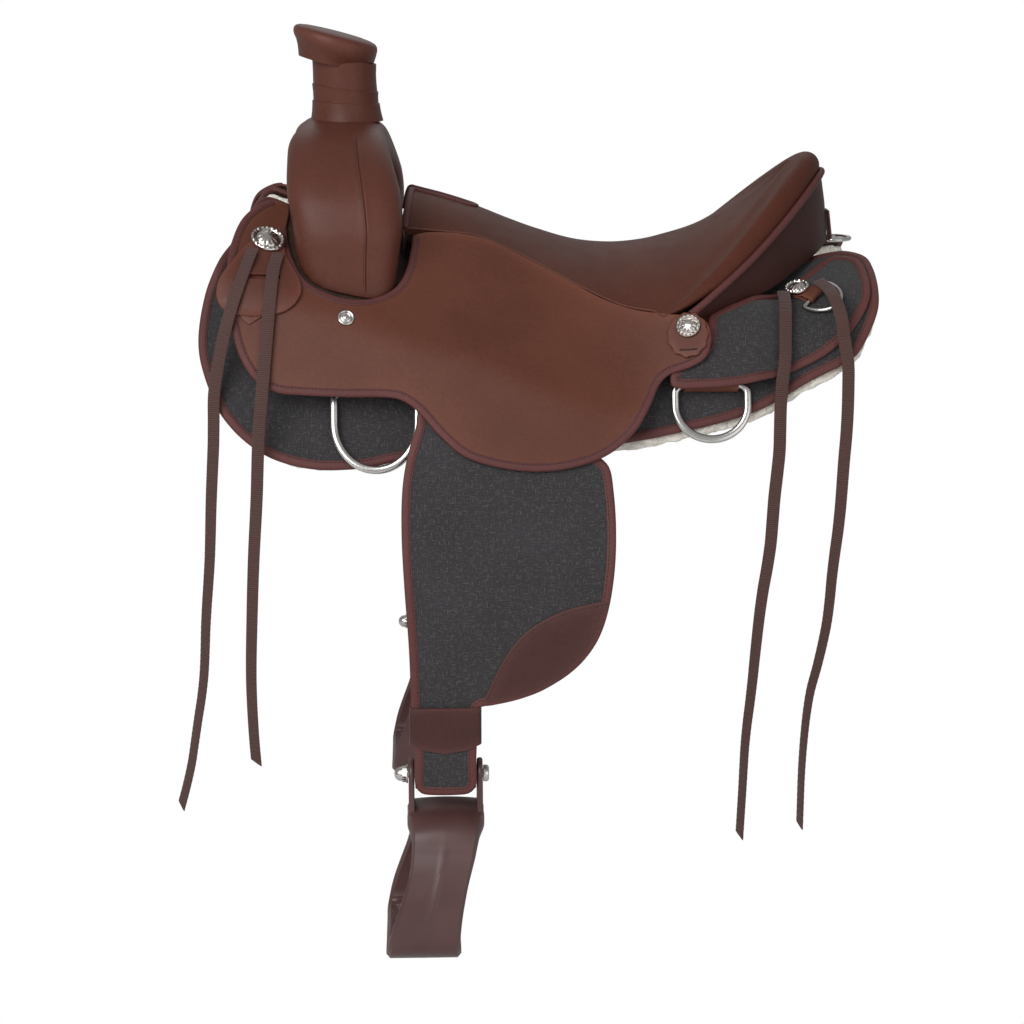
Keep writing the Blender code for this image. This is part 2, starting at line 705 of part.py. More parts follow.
def make_hobble(word, side):
    """A band round the strap and the fender's neck, above the stirrup."""
    low, high = INNER_PLY - STRAP / 2 - GAP, FENDER_HIGH + GAP
    half = STRAP_WIDTH / 2 + 2.8 * MM
    wall = 2.4 * MM
    rings = []
    for grow in (0.0, wall):
        for drop in (322 * MM, 356 * MM):
            corners = []
            for cx, cy, start in ((1, 1, 0), (-1, 1, 90), (-1, -1, 180), (1, -1, 270)):
                middle = (cx * (half - 2 * MM), (high + low) / 2 + cy * ((high - low) / 2 - 2 * MM))
                corners += arc(middle, 2 * MM + grow, start, start + 90, 3)
            places = [HANG.exact(NECK_X + across, drop, height) for across, height in corners]
            rings.append([mirrored(place, side) for place in places])
    order = (rings[0], rings[1], rings[3], rings[2])
    return loft(f"hobble_strap_{word}", order, leather(), turned=True)


def rounded_section(width, thickness, chamfer):
    """A flat bar's section with its corners taken off: (across, through) points."""
    w, t = width / 2, thickness / 2
    c = min(chamfer, 0.45 * thickness)
    rear = ((w - c, -t), (w, -t + c), (w, t - c), (w - c, t))
    return rear + tuple((-across, -through) for across, through in rear)


def stirrup_stations():
    """Half of the stirrup's ring: its middle line from the arch to the tread, with each section."""
    side = STIRRUP_INSIDE / 2 + 5 * MM
    tread = 11 * MM
    bottom = STIRRUP_DROP
    arch = 2 * (EAR_X + EAR + 1 * MM)
    return (
        (0, 42 * MM, arch, 15 * MM),
        (EAR_FOOT + 2 * MM, 44 * MM, arch, 14 * MM),
        (38 * MM, 52 * MM, 64 * MM, 13 * MM),
        (52 * MM, 68 * MM, 60 * MM, 12 * MM),
        (side - 7.5 * MM, 89 * MM, 58 * MM, 10 * MM),
        (side - 2 * MM, bottom - 48 * MM, 61 * MM, 10 * MM),
        (side, bottom - 27 * MM, 65 * MM, 10 * MM),
        (side - 2 * MM, bottom - 11 * MM, 68 * MM, tread),
        (side - 13 * MM, bottom - 1.5 * MM, TREAD_DEPTH, tread),
        (side - 38 * MM, bottom, TREAD_DEPTH, tread),
        (0, bottom, TREAD_DEPTH, tread),
    )


def make_stirrup(word, side, swing):
    axis = HANG.exact(NECK_X, BOLT_DROP, BOLT_HEIGHT)
    stations = stirrup_stations()
    loop = [(y, -z, w, t) for y, z, w, t in stations]
    loop += [(-y, -z, w, t) for y, z, w, t in stations[-2:0:-1]]
    places = np.array([row[:2] for row in loop])
    along = np.roll(places, -1, axis=0) - np.roll(places, 1, axis=0)
    along /= np.linalg.norm(along, axis=1)[:, None]
    rings = []
    for place, (ay, az), (_, _, width, thickness) in zip(places, along, loop):
        ring = []
        for across, through in rounded_section(width, thickness, 3.5 * MM):
            y = place[0] + through * az
            z = place[1] - through * ay
            slant = STIRRUP_SLANT * ease(-38 * MM, -STIRRUP_DROP, place[1])
            ring.append(mirrored(axis + np.array((across - slant, y, z)), side))
        rings.append(ring)
    stirrup = loft(f"stirrup_{word}", rings, plastic(), turned=True)
    outline = arc((0, 0), EAR_RADIUS, -10, 190, 8)
    outline += [(-EAR_FOOT, -36 * MM), (-EAR_FOOT, -44 * MM), (EAR_FOOT, -44 * MM), (EAR_FOOT, -36 * MM)]
    for label, start in (("front", -EAR_X - EAR), ("rear", EAR_X)):
        rings = []
        for x in (start, start + EAR):
            rings.append([mirrored(axis + np.array((x, y, z)), side) for y, z in outline])
        ear = loft(f"{label}_ear_{word}", rings, plastic())
        boolean(stirrup, ear, "UNION")
    centre = Vector(mirrored(axis, side))
    along_x = Matrix.Translation(centre) @ Matrix.Rotation(math.pi / 2, 4, "Y")
    reach = EAR_X + EAR
    hole = [(0, -reach - 5 * MM), (BOLT_RADIUS + 0.4 * MM, -reach - 5 * MM)]
    hole += [(BOLT_RADIUS + 0.4 * MM, reach + 5 * MM), (0, reach + 5 * MM)]
    boolean(stirrup, turned_piece(f"bolt_hole_{word}", hole, along_x, plastic(), 10))
    sleeve = STRAP_WIDTH / 2 - 0.2 * MM
    head = reach + GAP
    profile = [(0, -head - 13 * MM), (4 * MM, -head - 12 * MM), (7 * MM, -head - 9.5 * MM)]
    profile += [(7.6 * MM, -head - 5 * MM), (7.6 * MM, -head - 1.5 * MM), (9 * MM, -head - 1.5 * MM)]
    profile += [(9 * MM, -head), (BOLT_RADIUS, -head), (BOLT_RADIUS, -sleeve)]
    profile += [(ROLLER_RADIUS, -sleeve), (ROLLER_RADIUS, sleeve), (BOLT_RADIUS, sleeve)]
    profile += [(BOLT_RADIUS, head), (8 * MM, head), (8 * MM, head + 4 * MM), (6 * MM, head + 5.5 * MM)]
    profile += [(0, head + 5.5 * MM)]
    bolt = turned_piece(f"stirrup_bolt_{word}", profile, along_x, steel(), 10)
    attach(bolt, swing)
    hinge = pivot(f"stirrup_{word}_pivot", centre, swing)
    attach(stirrup, hinge)


# Across the fork: inner (y, z), outer (y, z), front and rear, from its foot to its crown.
FORK_STATIONS = (
    (82, 116, 164, 64, -232, -141),
    (91, 122, 165, 96, -238, -138),
    (92, 141, 164, 127, -241, -135),
    (82, 159, 151, 160, -246, -137),
    (61, 173, 120, 192, -247, -144),
    (32, 182, 76, 214, -246, -150),
    (0, 185, 0, 226, -237, -155),
)


def resting_height(x, y, height):
    """Height of the layer over the barrel at a place in plan."""
    low, high = BARREL.top(x) - 20 * MM, 60 * MM
    for _ in range(24):
        middle = (low + high) / 2
        low, high = (middle, high) if BARREL.point(x, middle, height)[1] < y else (low, middle)
    return BARREL.point(x, low, height)[2]


FORK_RINGS = 10


def fork_rings(inset):
    """Rings across the fork from its near foot over the crown to its off foot."""
    columns = MM * np.array(FORK_STATIONS, float).T
    last = len(FORK_STATIONS) - 1
    rings = []
    for place in np.linspace(0, last, FORK_RINGS):
        row = [smooth_through(list(range(last + 1)), list(column), place) for column in columns]
        inner, outer = np.array(row[0:2]), np.array(row[2:4])
        through = (outer - inner) / np.linalg.norm(outer - inner)
        inner, outer = inner + inset * through, outer - inset * through
        front, rear = row[4] + inset, row[5] - inset
        ring = []
        for turn in np.radians(105 + 30 * np.arange(12)):
            a = math.copysign(abs(math.cos(turn)) ** 0.62, math.cos(turn))
            b = math.copysign(abs(math.sin(turn)) ** 0.62, math.sin(turn))
            x = (front + rear) / 2 + a * (rear - front) / 2
            y, z = (inner + outer) / 2 + b * (outer - inner) / 2
            if place < 2:
                rest = resting_height(x, y, BAR_HIGH + FOOT_GAP)
                z = rest if place == 0 else max(z, rest)
            ring.append((x, -y, z))
        rings.append(ring)
    off = [[(x, -y, z) for x, y, z in ring] for ring in rings[-2::-1]]
    return rings + off


def shell(name, outer, inner, finish):
    """A tube wall between two lofted skins, open at both ends."""
    mesh = bmesh.new()
    skins = []
    for rings in (outer, inner):
        skins.append([[mesh.verts.new(place) for place in ring] for ring in rings])
    count = len(outer[0])
    for rows in skins:
        for before, after in zip(rows, rows[1:]):
            for i in range(count):
                j = (i + 1) % count
                mesh.faces.new((before[i], before[j], after[j], after[i]))
    for end in (0, -1):
        before, after = skins[0][end], skins[1][end]
        for i in range(count):
            j = (i + 1) % count
            mesh.faces.new((before[i], before[j], after[j], after[i]))
    bmesh.ops.triangulate(mesh, faces=mesh.faces[:])
    return add(name, mesh, finish, 40)


def tilted_ring(x, z, radius, tilt, count=HORN_SIDES):
    """A circle round the horn's axis, its front edge raised by the tilt."""
    ring = []
    for turn in np.arange(count) * 2 * math.pi / count:
        along = radius * math.cos(turn)
        ring.append((x + along * math.cos(tilt), radius * math.sin(turn), z - along * math.sin(tilt)))
    return ring


def make_fork_and_horn():
    loft("tree_fork", fork_rings(COVER_LEATHER + FINE_GAP), wood(), paired=True)
    cover = shell("fork_cover", fork_rings(0.0), fork_rings(COVER_LEATHER), leather())
    crown = MM * FORK_STATIONS[-1][3]
    hole = [(0, crown - 15 * MM), (HORN_STEM_RADIUS + 0.4 * MM, crown - 15 * MM)]
    hole += [(HORN_STEM_RADIUS + 0.4 * MM, crown + 20 * MM), (0, crown + 20 * MM)]
    at_horn = Matrix.Translation((HORN_X, 0, 0))
    boolean(cover, turned_piece("horn_hole", hole, at_horn, wood(), HORN_SIDES))
    cap_x, cap_z = HORN_CAP_CENTRE
    tilt = HORN_CAP_TILT
    rise = np.array((math.sin(tilt), math.cos(tilt)))
    core_radius = HORN_CAP_RADIUS - 6 * MM
    core_half = HORN_CAP_THICKNESS / 2 - 5 * MM
    rings = [tilted_ring(HORN_X, crown - COVER_LEATHER + 0.3 * MM, HORN_STEM_RADIUS, 0.0)]
    rings.append(tilted_ring(HORN_X, crown + 20 * MM, HORN_STEM_RADIUS, 0.0))
    rings.append(tilted_ring(HORN_X - 1 * MM, cap_z - 24 * MM, HORN_STEM_RADIUS, tilt / 3))
    under = np.array((cap_x, cap_z)) - core_half * rise
    over = np.array((cap_x, cap_z)) + core_half * rise
    rings.append(tilted_ring(*(under - 2 * MM * rise), HORN_STEM_RADIUS + 5 * MM, tilt))
    rings.append(tilted_ring(*under, core_radius - 2 * MM, tilt))
    rings.append(tilted_ring(*(under + 2 * MM * rise), core_radius, tilt))
    rings.append(tilted_ring(*(over - 2 * MM * rise), core_radius, tilt))
    rings.append(tilted_ring(*over, core_radius - 3 * MM, tilt))
    rings.append(tilted_ring(*(over + 1.2 * MM * rise), core_radius * 0.5, tilt))
    loft("tree_horn", rings, wood())
    wrap_top = np.array((cap_x, cap_z)) - (HORN_CAP_THICKNESS / 2 + GAP) * rise
    outer = [drop_on(cover, tilted_ring(HORN_X, crown, HORN_NECK_RADIUS - 1 * MM, 0.0), crown)]
    outer.append(tilted_ring(HORN_X, crown + 13 * MM, HORN_NECK_RADIUS - 1.5 * MM, tilt * 0.2))
    outer.append(tilted_ring(HORN_X, crown + 27 * MM, HORN_NECK_RADIUS - 2 * MM, tilt * 0.5))
    forward = 6 * MM
    level_top = (wrap_top[0] + forward, wrap_top[1] - forward * math.tan(tilt))
    outer.append(tilted_ring(level_top[0], level_top[1] - 12 * MM, HORN_NECK_RADIUS - 2 * MM, tilt * 0.8))
    outer.append(tilted_ring(*level_top, HORN_NECK_RADIUS - 1.5 * MM, tilt))
    bore = HORN_STEM_RADIUS + FINE_GAP
    inner = [
        drop_on(cover, tilted_ring(HORN_X, crown, radius, 0.0), crown)
        for radius in (28 * MM, 22 * MM, bore + 0.6 * MM)
    ]
    inner.append(tilted_ring(HORN_X, crown + 20 * MM, bore, 0.0))
    inner.append(tilted_ring(HORN_X - 1 * MM, cap_z - 24 * MM, bore, tilt / 3))
    inner.append(tilted_ring(*(under - 2.3 * MM * rise), bore + 5.5 * MM, tilt))
    eased = forward / 3
    inner.append(tilted_ring(wrap_top[0] + eased, wrap_top[1] - eased * math.tan(tilt), bore + 6 * MM, tilt))
    shell("horn_wrap", outer, inner, leather())
    skin = FINE_GAP
    profile = [(bore + 9 * MM, -HORN_CAP_THICKNESS / 2), (HORN_CAP_RADIUS - 5 * MM, -HORN_CAP_THICKNESS / 2)]
    profile += [(HORN_CAP_RADIUS, -HORN_CAP_THICKNESS / 2 + 4 * MM)]
    profile += [(HORN_CAP_RADIUS, 4 * MM), (HORN_CAP_RADIUS - 2 * MM, HORN_CAP_THICKNESS / 2 - 2 * MM)]
    profile += [(HORN_CAP_RADIUS - 8 * MM, HORN_CAP_THICKNESS / 2 - 0.3 * MM)]
    profile += [(0, HORN_CAP_THICKNESS / 2 + 1.5 * MM), (0, core_half + 1.2 * MM + skin + 0.4 * MM)]
    profile += [(core_radius * 0.5, core_half + 1.2 * MM + skin)]
    profile += [(core_radius - 3 * MM + skin, core_half + skin)]
    profile += [(core_radius + skin, core_half - 2 * MM), (core_radius + skin, -core_half + 2 * MM)]
    profile += [(core_radius - 2 * MM, -core_half - skin), (bore + 9 * MM, -core_half - 1.4 * MM - skin)]
    cap_frame = Matrix.Translation((cap_x, 0, cap_z)) @ Matrix.Rotation(tilt, 4, "Y")
    closed = profile + [profile[0]]
    turned_ring("horn_cap_cover", closed, cap_frame, leather())


def turned_ring(name, profile, frame, finish, count=HORN_SIDES):
    """A closed profile turned round an axis, which it touches along its crown only."""
    mesh = bmesh.new()
    rows = []
    for radius, height in profile[:-1]:
        if radius == 0:
            rows.append([mesh.verts.new(frame @ Vector((0, 0, height)))])
            continue
        ring = [2 * math.pi * k / count for k in range(count)]
        places = [Vector((radius * math.cos(a), radius * math.sin(a), height)) for a in ring]
        rows.append([mesh.verts.new(frame @ place) for place in places])
    for before, after in zip(rows, rows[1:] + rows[:1]):
        if len(before) == 1 and len(after) == 1:
            continue
        for i in range(count):
            j = (i + 1) % count
            corners = [before[i % len(before)], before[j % len(before)]]
            corners += [after[j % len(after)], after[i % len(after)]]
            unique = [c for k, c in enumerate(corners) if c not in corners[:k]]
            mesh.faces.new(unique)
    bmesh.ops.triangulate(mesh, faces=mesh.faces[:])
    return add(name, mesh, finish, 35)


def drop_on(target, ring, start):
    """The ring let down on the piece below it, with a fine gap."""
    bpy.context.view_layer.update()
    graph = bpy.context.evaluated_depsgraph_get()
    body = target.evaluated_get(graph)
    placed = []
    for x, y, z in ring:
        hit, place, _, _ = body.ray_cast((x, y, start + 50 * MM), (0, 0, -1))
        placed.append((x, y, place.z + 1.5 * NEST_GAP if hit and place.z > start - 25 * MM else z))
    return placed


def crest(y):
    """The top of the cantle's roll at a place across the saddle: a hyperbola that also runs forward."""
    share = abs(y) / CANTLE_HALF_WIDTH
    full = math.hypot(1, CREST_FLAT) - CREST_FLAT
    fall = CREST_FALL * (math.hypot(share, CREST_FLAT) - CREST_FLAT) / full
    return np.array((CREST_X - CREST_FORWARD * share**1.56, y, CREST_HEIGHT - fall))


def crest_run(y):
    """The direction of the crest at a place across the saddle."""
    run = crest(y + 1 * MM) - crest(y - 1 * MM)
    return run / np.linalg.norm(run)


# Around the cantle, in shares of its half width: the crest's place across and the place across of its
# back's foot. Then the foot's x and z.
CANTLE_STATIONS = (
    (0, 0, 293, 102),
    (0.174, 0.14, 289, 99),
    (0.355, 0.279, 278, 92),
    (0.517, 0.395, 263, 84),
    (0.64, 0.512, 248, 77),
    (0.744, 0.628, 231, 68),
    (0.843, 0.721, 211, 60),
    (0.936, 0.808, 188, 54),
    (1, 0.878, 168, 48),
)
# Where the pad's edge meets the roll, in the same shares.
PAD_EDGE_SHARES = (0.802, 0.616, 0.349, 0.081)


def roll_radius(y):
    return ROLL_RADIUS * (1 - 0.35 * (abs(y) / CANTLE_HALF_WIDTH) ** 3)


def cantle_frames():
    """For each station on the near half: base, up and outward directions, height and roll radius."""
    frames = []
    for share, foot_share, foot_x, foot_z in CANTLE_STATIONS:
        y = share * CANTLE_HALF_WIDTH
        top = crest(y)
        base = np.array((MM * foot_x, foot_share * CANTLE_HALF_WIDTH, MM * foot_z))
        up = (top - base) / np.linalg.norm(top - base)
        outward = np.cross(crest_run(y), up)
        outward /= np.linalg.norm(outward)
        frames.append((base, up, outward, np.linalg.norm(top - base), roll_radius(y)))
    return frames


def cantle_rings(section):
    """Rings of a section that runs round the cantle from its near end to its off end."""
    half = []
    for base, up, outward, height, radius in cantle_frames():
        half.append([base + a * outward + b * up for a, b in section(height, radius)])
    near = [[(x, -y, z) for x, y, z in ring] for ring in half[:0:-1]]
    return near + [[tuple(place) for place in ring] for ring in half]


def board_section(height, radius):
    low, high = 11 * MM, max(height - 2 * radius - 2.2 * MM, 16 * MM)
    return ((-CANTLE_BOARD, low), (-NEST_GAP, low), (-NEST_GAP, high), (-CANTLE_BOARD, high))


def back_section(height, radius):
    wall = CANTLE_LEATHER
    low, high = 0.0, height - radius - math.sqrt(radius**2 - (radius - wall) ** 2) - NEST_GAP
    belly = 1.5 * MM
    return ((0, low), (wall, low), (wall + belly, (low + high) / 2), (wall, high), (0, high))


def roll_section(height, radius):
    middle = (CANTLE_LEATHER - radius, height - radius)
    return arc(middle, radius, 0, 308, 7)


def make_cantle():
    loft("tree_cantle", cantle_rings(board_section), wood())
    loft("cantle_back", cantle_rings(back_section), leather())
    loft("cantle_roll", cantle_rings(roll_section), leather(), smooth=60)


SEAT_CENTRE = (
    (-118, 151), (-92, 144), (-62, 134), (-30, 121), (0, 110), (38, 99), (75, 95.5),
    (108, 98), (136, 104), (162, 113), (190, 127), (220, 147), (247, 170),
)


def seat_edge():
    """The near edge of the seat: its seam, then the inner foot of the cantle's roll."""
    edge = []
    for x in (-118, -92, -62, -30, 0, 38, 75, 104, 122):
        y, z = SEAT.section(MM * x)[:2]
        edge.append(np.array((MM * x, y, z + 1 * MM)))
    for share in PAD_EDGE_SHARES:
        y = share * CANTLE_HALF_WIDTH
        run = crest_run(y)
        away = np.array((run[1], -run[0])) / np.linalg.norm(run[:2])
        top = crest(y)
        place = top[:2] - 2 * roll_radius(y) * away
        edge.append(np.array((place[0], place[1], top[2] - 9 * MM)))
    return edge


def seat_place(index, share, edge):
    """A place on the seat's top between its centre line (share 0) and its edge (share 1)."""
    x, z = (MM * value for value in SEAT_CENTRE[index])
    bent = abs(share) ** 1.9
    place = np.array((x, 0.0, z)) * (1 - abs(share)) + edge[index] * abs(share)
    return np.array((place[0], math.copysign(place[1], share), z + (edge[index][2] - z) * bent))


def seat_split(name, reach):
    """The cutter of the slot between the two ears at the front of the seat."""
    outline = arc((SPLIT_END - SPLIT_HALF_WIDTH, 0), SPLIT_HALF_WIDTH, 80, -80, 7)
    outline += [(-160 * MM, -SPLIT_HALF_WIDTH - reach), (-160 * MM, SPLIT_HALF_WIDTH + reach)]
    rings = [[(x, y, z) for x, y in outline] for z in (60 * MM, 190 * MM)]
    return loft(name, rings, leather())


def make_seat():
    edge = seat_edge()
    shares = np.linspace(-1, 1, 7)
    rings = []
    for index in range(len(SEAT_CENTRE)):
        top = [seat_place(index, share, edge) for share in shares]
        under = []
        for share, place in zip(shares, top):
            depth = PAD - PAD_THINNING * share**2
            inward = 1.2 * MM * abs(share) ** 3
            under.append(place - np.array((0, math.copysign(inward, share), depth)))
        rings.append(top + under[::-1])
    pad = loft("seat_pad", rings, leather(), smooth=50, paired=True)
    boolean(pad, seat_split("pad_split", 6 * MM))
    rings = []
    for index in range(2, len(SEAT_CENTRE) - 2):
        width = min(0.9, 118 * MM / edge[index][1])
        top, under = [], []
        for share in np.linspace(-width, width, 7):
            depth = PAD - PAD_THINNING * share**2 + 2 * NEST_GAP
            place = seat_place(index, share, edge) - np.array((0, 0, depth))
            top.append(place)
            under.append(place - np.array((0, 0, GROUND_SEAT)))
        foot = []
        for sign, place in ((1, under[-1]), (-1, under[0])):
            inside = place - np.array((0, sign * 12 * MM, 0))
            outside = place.copy()
            for corner in (outside, inside):
                rest = resting_height(corner[0], abs(corner[1]), BAR_HIGH + NEST_GAP)
                reach = ease(-30 * MM, -14 * MM, corner[0])
                corner[2] = corner[2] + (min(rest, corner[2] - 0.5 * MM) - corner[2]) * max(reach, 0.02)
            foot.append((outside, inside))
        inner = under[5:0:-1]
        ring = top + [foot[0][0], foot[0][1]] + inner + [foot[1][1], foot[1][0]]
        rings.append(ring)
    loft("ground_seat", rings, leather(), smooth=50)


def jockey_outline():
    """The seat side's pattern: front ear, the U round the fork, seam, and the lobe over the fender."""
    outline = in_metres((
        (-247, -199), (-262, -202), (-275, -192), (-289, -171), (-297, -143), (-301, -109),
        (-300, -71), (-297, -46), (-289, -17), (-275, 6), (-256, 18), (-232, 21), (-195, 23),
        (-148, 24), (-134, 28), (-120, 39), (-101, 61), (-78, 81), (-45, 92), (-7, 96), (30, 91),
        (59, 79), (83, 58), (98, 33), (107, 12), (117, 2), (138, -5), (152, -14), (158, -32),
        (156, -46),
    ))
    for x in (148, 120, 90, 60, 30, 0, -30, -60, -90):
        outline.append((MM * x, SEAT.top(MM * x) + 1.5 * MM))
    outline += in_metres((
        (-123, -165), (-126, -150), (-131, -120), (-141, -95), (-160, -79), (-184, -73),
        (-208, -79), (-228, -93), (-241, -122), (-248, -160),
    ))
    return outline


def make_jockey(word, side):
    flap(f"seat_jockey_{word}", jockey_outline(), 0.0, JOCKEY, SEAT, side, leather())
    low = JOCKEY + NEST_GAP
    keeper = in_metres((
        (-276, -142), (-262, -152), (-250, -147), (-247, -124), (-240, -104), (-250, -82),
        (-264, -66), (-280, -46), (-296, -58), (-310, -72), (-309, -88), (-297, -108), (-288, -126),
    ))
    slot = in_metres(((-284, -92), (-280, -97), (-256, -101), (-252, -97), (-256, -92), (-280, -88)))
    piece = flap(f"latigo_keeper_{word}", keeper, low, low + 3 * MM, SEAT, side, leather())
    boolean(piece, flap(f"keeper_slot_{word}", slot, -5 * MM, 20 * MM, SEAT, side, leather()))
    frame = frame_at(SEAT, -264 * MM, -140 * MM, low + 3 * MM + GAP, side)
    turned_piece(f"front_concho_{word}", concho_profile(CONCHO_RADIUS, 6.5 * MM), frame, silver())
    centre = (136 * MM, -37 * MM)
    scallops = []
    for turn in np.linspace(0, 2 * math.pi, 24, endpoint=False):
        radius = 18.5 * MM + 1.2 * MM * math.cos(6 * turn)
        scallops.append((centre[0] + radius * math.cos(turn), centre[1] + 1.15 * radius * math.sin(turn)))
    flap(f"seat_rosette_{word}", scallops, low, low + 2.5 * MM, SEAT, side, leather())
    frame = frame_at(SEAT, 136 * MM, -44 * MM, low + 2.5 * MM + GAP, side)
    turned_piece(f"seat_concho_{word}", concho_profile(SEAT_CONCHO_RADIUS, 5 * MM), frame, silver())
    frame = frame_at(SEAT, -189 * MM, -52 * MM, JOCKEY + FINE_GAP, side)
    screw = [(0, 0), (8 * MM, 0), (8 * MM, 1.2 * MM), (5.5 * MM, 2.4 * MM)]
    screw += [(3 * MM, 3.2 * MM), (0, 3.5 * MM)]
    turned_piece(f"jockey_screw_{word}", screw, frame, steel())


def concho_profile(radius, height):
    """A domed silver disc with a raised rope rim round a sunk ring."""
    return (
        (0, 0), (radius - 0.6 * MM, 0), (radius, 1.6 * MM), (radius - 2 * MM, 3 * MM),
        (radius - 4.4 * MM, 2 * MM), (0.5 * radius, 0.72 * height), (0, height),
    )


def make_saddlebag_dee(word, side):
    """A small ring behind the cantle, in a leather tab under the rear string's concho."""
    wire_radius, tab = 2 * MM, 1.6 * MM
    turn = math.radians(-49)
    hook = wire_radius + 0.3 * MM + tab / 2
    top = REAR_JOCKEY_LOW + JOCKEY
    lift = top + 1.5 * NEST_GAP + tab / 2 + hook
    frame = frame_at(BARREL, 265 * MM, -70 * MM, lift, side, turn)
    half, depth = 18 * MM, 30 * MM
    sweep = np.radians(np.linspace(0, 180, 9))
    down = 1 if side < 0 else -1
    path = [(half * math.cos(a), -down * (4 * MM + (depth - 4 * MM) * math.sin(a))) for a in sweep[::-1]]
    path = [(-half, 0)] + path + [(half, 0)]
    lean = 1.2 * MM / depth
    places = [frame @ Vector((u, v, -lean * abs(v))) for u, v in path]
    dee = wire(f"saddlebag_dee_{word}", places, wire_radius, steel(), sides=1)
    attach(dee, pivot(f"saddlebag_dee_{word}_pivot", frame.translation))
    plies = [(26 * MM, -hook + tab + FINE_GAP), (14 * MM, -hook + tab + FINE_GAP), (7 * MM, hook - 0.8 * MM)]
    plies += arc((0, 0), hook, 90, 270, 9)
    plies += [(8 * MM, -hook), (20 * MM, -hook)]
    outline = thickened(plies, tab)
    rings = []
    for u in (-9 * MM, 9 * MM):
        rings.append([frame @ Vector((u, down * v, w)) for v, w in outline])
    loft(f"dee_tab_{word}", rings, leather(), paired=True)
    seat = frame @ Matrix.Translation((0, down * 21 * MM, -hook + 1.5 * tab + 3 * NEST_GAP))
    turned_piece(f"rear_concho_{word}", concho_profile(REAR_CONCHO_RADIUS, 5 * MM), seat, silver())


def make_crupper():
    """The crupper ring at the rear, in a tab on the cantle's back."""
    base, up, outward, _, _ = cantle_frames()[0]
    tab, wire_radius = 2.2 * MM, 2 * MM
    hook = wire_radius + 0.4 * MM + tab / 2
    lap = CANTLE_LEATHER + 1.6 * MM + FINE_GAP + tab / 2
    first = base + 26 * MM * up + lap * outward
    second = base - 1 * MM * up + lap * outward
    centre = (second[0] - hook, second[2] - 2 * MM)
    path = [(first[0], first[2]), (second[0], second[2])]
    path += arc(centre, hook, 0, -180, 9)
    outline = thickened(path, tab)
    rings = [[(x, y, z) for x, z in outline] for y in (-12 * MM, 12 * MM)]
    loft("crupper_tab", rings, leather(), paired=True)
    half, reach = 18 * MM, 24 * MM
    sweep = np.radians(np.linspace(-90, 90, 11))
    path = [(centre[0], -half)]
    path += [(centre[0] + 8 * MM + (reach - 8 * MM) * math.cos(a), half * math.sin(a)) for a in sweep]
    path += [(centre[0], half)]
    places = [(x, y, centre[1]) for x, y in path]
    dee = wire("crupper_dee", places, wire_radius, steel(), sides=1)
    attach(dee, pivot("crupper_dee_pivot", (centre[0], 0, centre[1])))


# The near side's tie strings: the part over leather as (x, drop, height), then the free part as (x, z).
STRING_ROUTES = {
    "front_string_a": (
        SEAT,
        ((-278, -124, 10.8), (-284, -100, 10.8), (-292, -76, 10.8), (-300, -50, 10.4)),
        ((-309, 12), (-315, -25), (-316, -60), (-320, -124), (-323, -183), (-328, -242),
         (-332, -303), (-340, -353), (-347, -394), (-357, -432)),
    ),
    "front_string_b": (
        SEAT,
        ((-254, -121, 10.4), (-257, -104, 10.8), (-259, -85, 11.2), (-261, -62, 11), (-263, -40, 9),
         (-266, -1, 8.5), (-268, 24, 8.5)),
        ((-272, -60), (-275, -118), (-279, -176), (-282, -236), (-284, -295), (-283, -346), (-281, -380)),
    ),
    "rear_string_a": (
        BARREL,
        ((235.3, -76, 19), (235, -58, 20), (232, -32, 21), (229, 1, 22), (227, 12, 22)),
        ((225, -40), (225, -79), (221, -128), (218, -177), (211, -227), (207, -268), (203, -318),
         (198, -370), (196, -421), (194, -470)),
    ),
    "rear_string_b": (
        BARREL,
        ((268.6, -82, 22.4), (273.4, -68, 22.8), (278, -50, 24), (283, -33, 23.5), (287, -18, 16),
         (291, 1, 11)),
        ((292, -52), (290, -92), (287, -151), (282, -201), (278, -252), (271, -292), (262, -333),
         (257, -395), (256, -465)),
    ),
}


def curve_through(route, count):
    """Places at even steps along a smooth curve through the route."""
    places = np.array(route)
    lengths = np.concatenate(([0], np.cumsum(np.linalg.norm(np.diff(places, axis=0), axis=1))))
    steps = np.linspace(0, lengths[-1], count)
    columns = [[smooth_through(list(lengths), list(places[:, k]), s) for s in steps] for k in range(3)]
    return np.array(columns).T


def make_strings():
    """Each string starts beside its concho, lies over the leather and hangs plumb below it."""
    for name, (surface, over, free) in STRING_ROUTES.items():
        route = [mirrored(surface.exact(MM * x, MM * drop, MM * height), -1) for x, drop, height in over]
        route += [(MM * x, route[-1][1], MM * z) for x, z in free]
        wire(name, curve_through(route, STRING_POINTS), STRING_RADIUS, webbing(), closed=False)


def build():
    clear_scene()
    for word, side in SIDES:
        make_skirt_side(word, side)
        make_bar(word, side)
        make_rigging(word, side)
        swing = make_fender(word, side)
        make_stirrup(word, side, swing)
        make_jockey(word, side)
        make_saddlebag_dee(word, side)
    make_fork_and_horn()
    make_cantle()
    make_seat()
    make_crupper()
    make_strings()


build()
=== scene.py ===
# %% [markdown]
# A mule saddle, seen from its near side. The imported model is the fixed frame: it says where each piece lies
# and which body carries it. This notebook dresses it. Leather and cloth are drawn as flat patterns, as a
# saddler cuts them, and are then laid over the shape of the mule's back with arrays.

# %% Load the frame
import json
import math

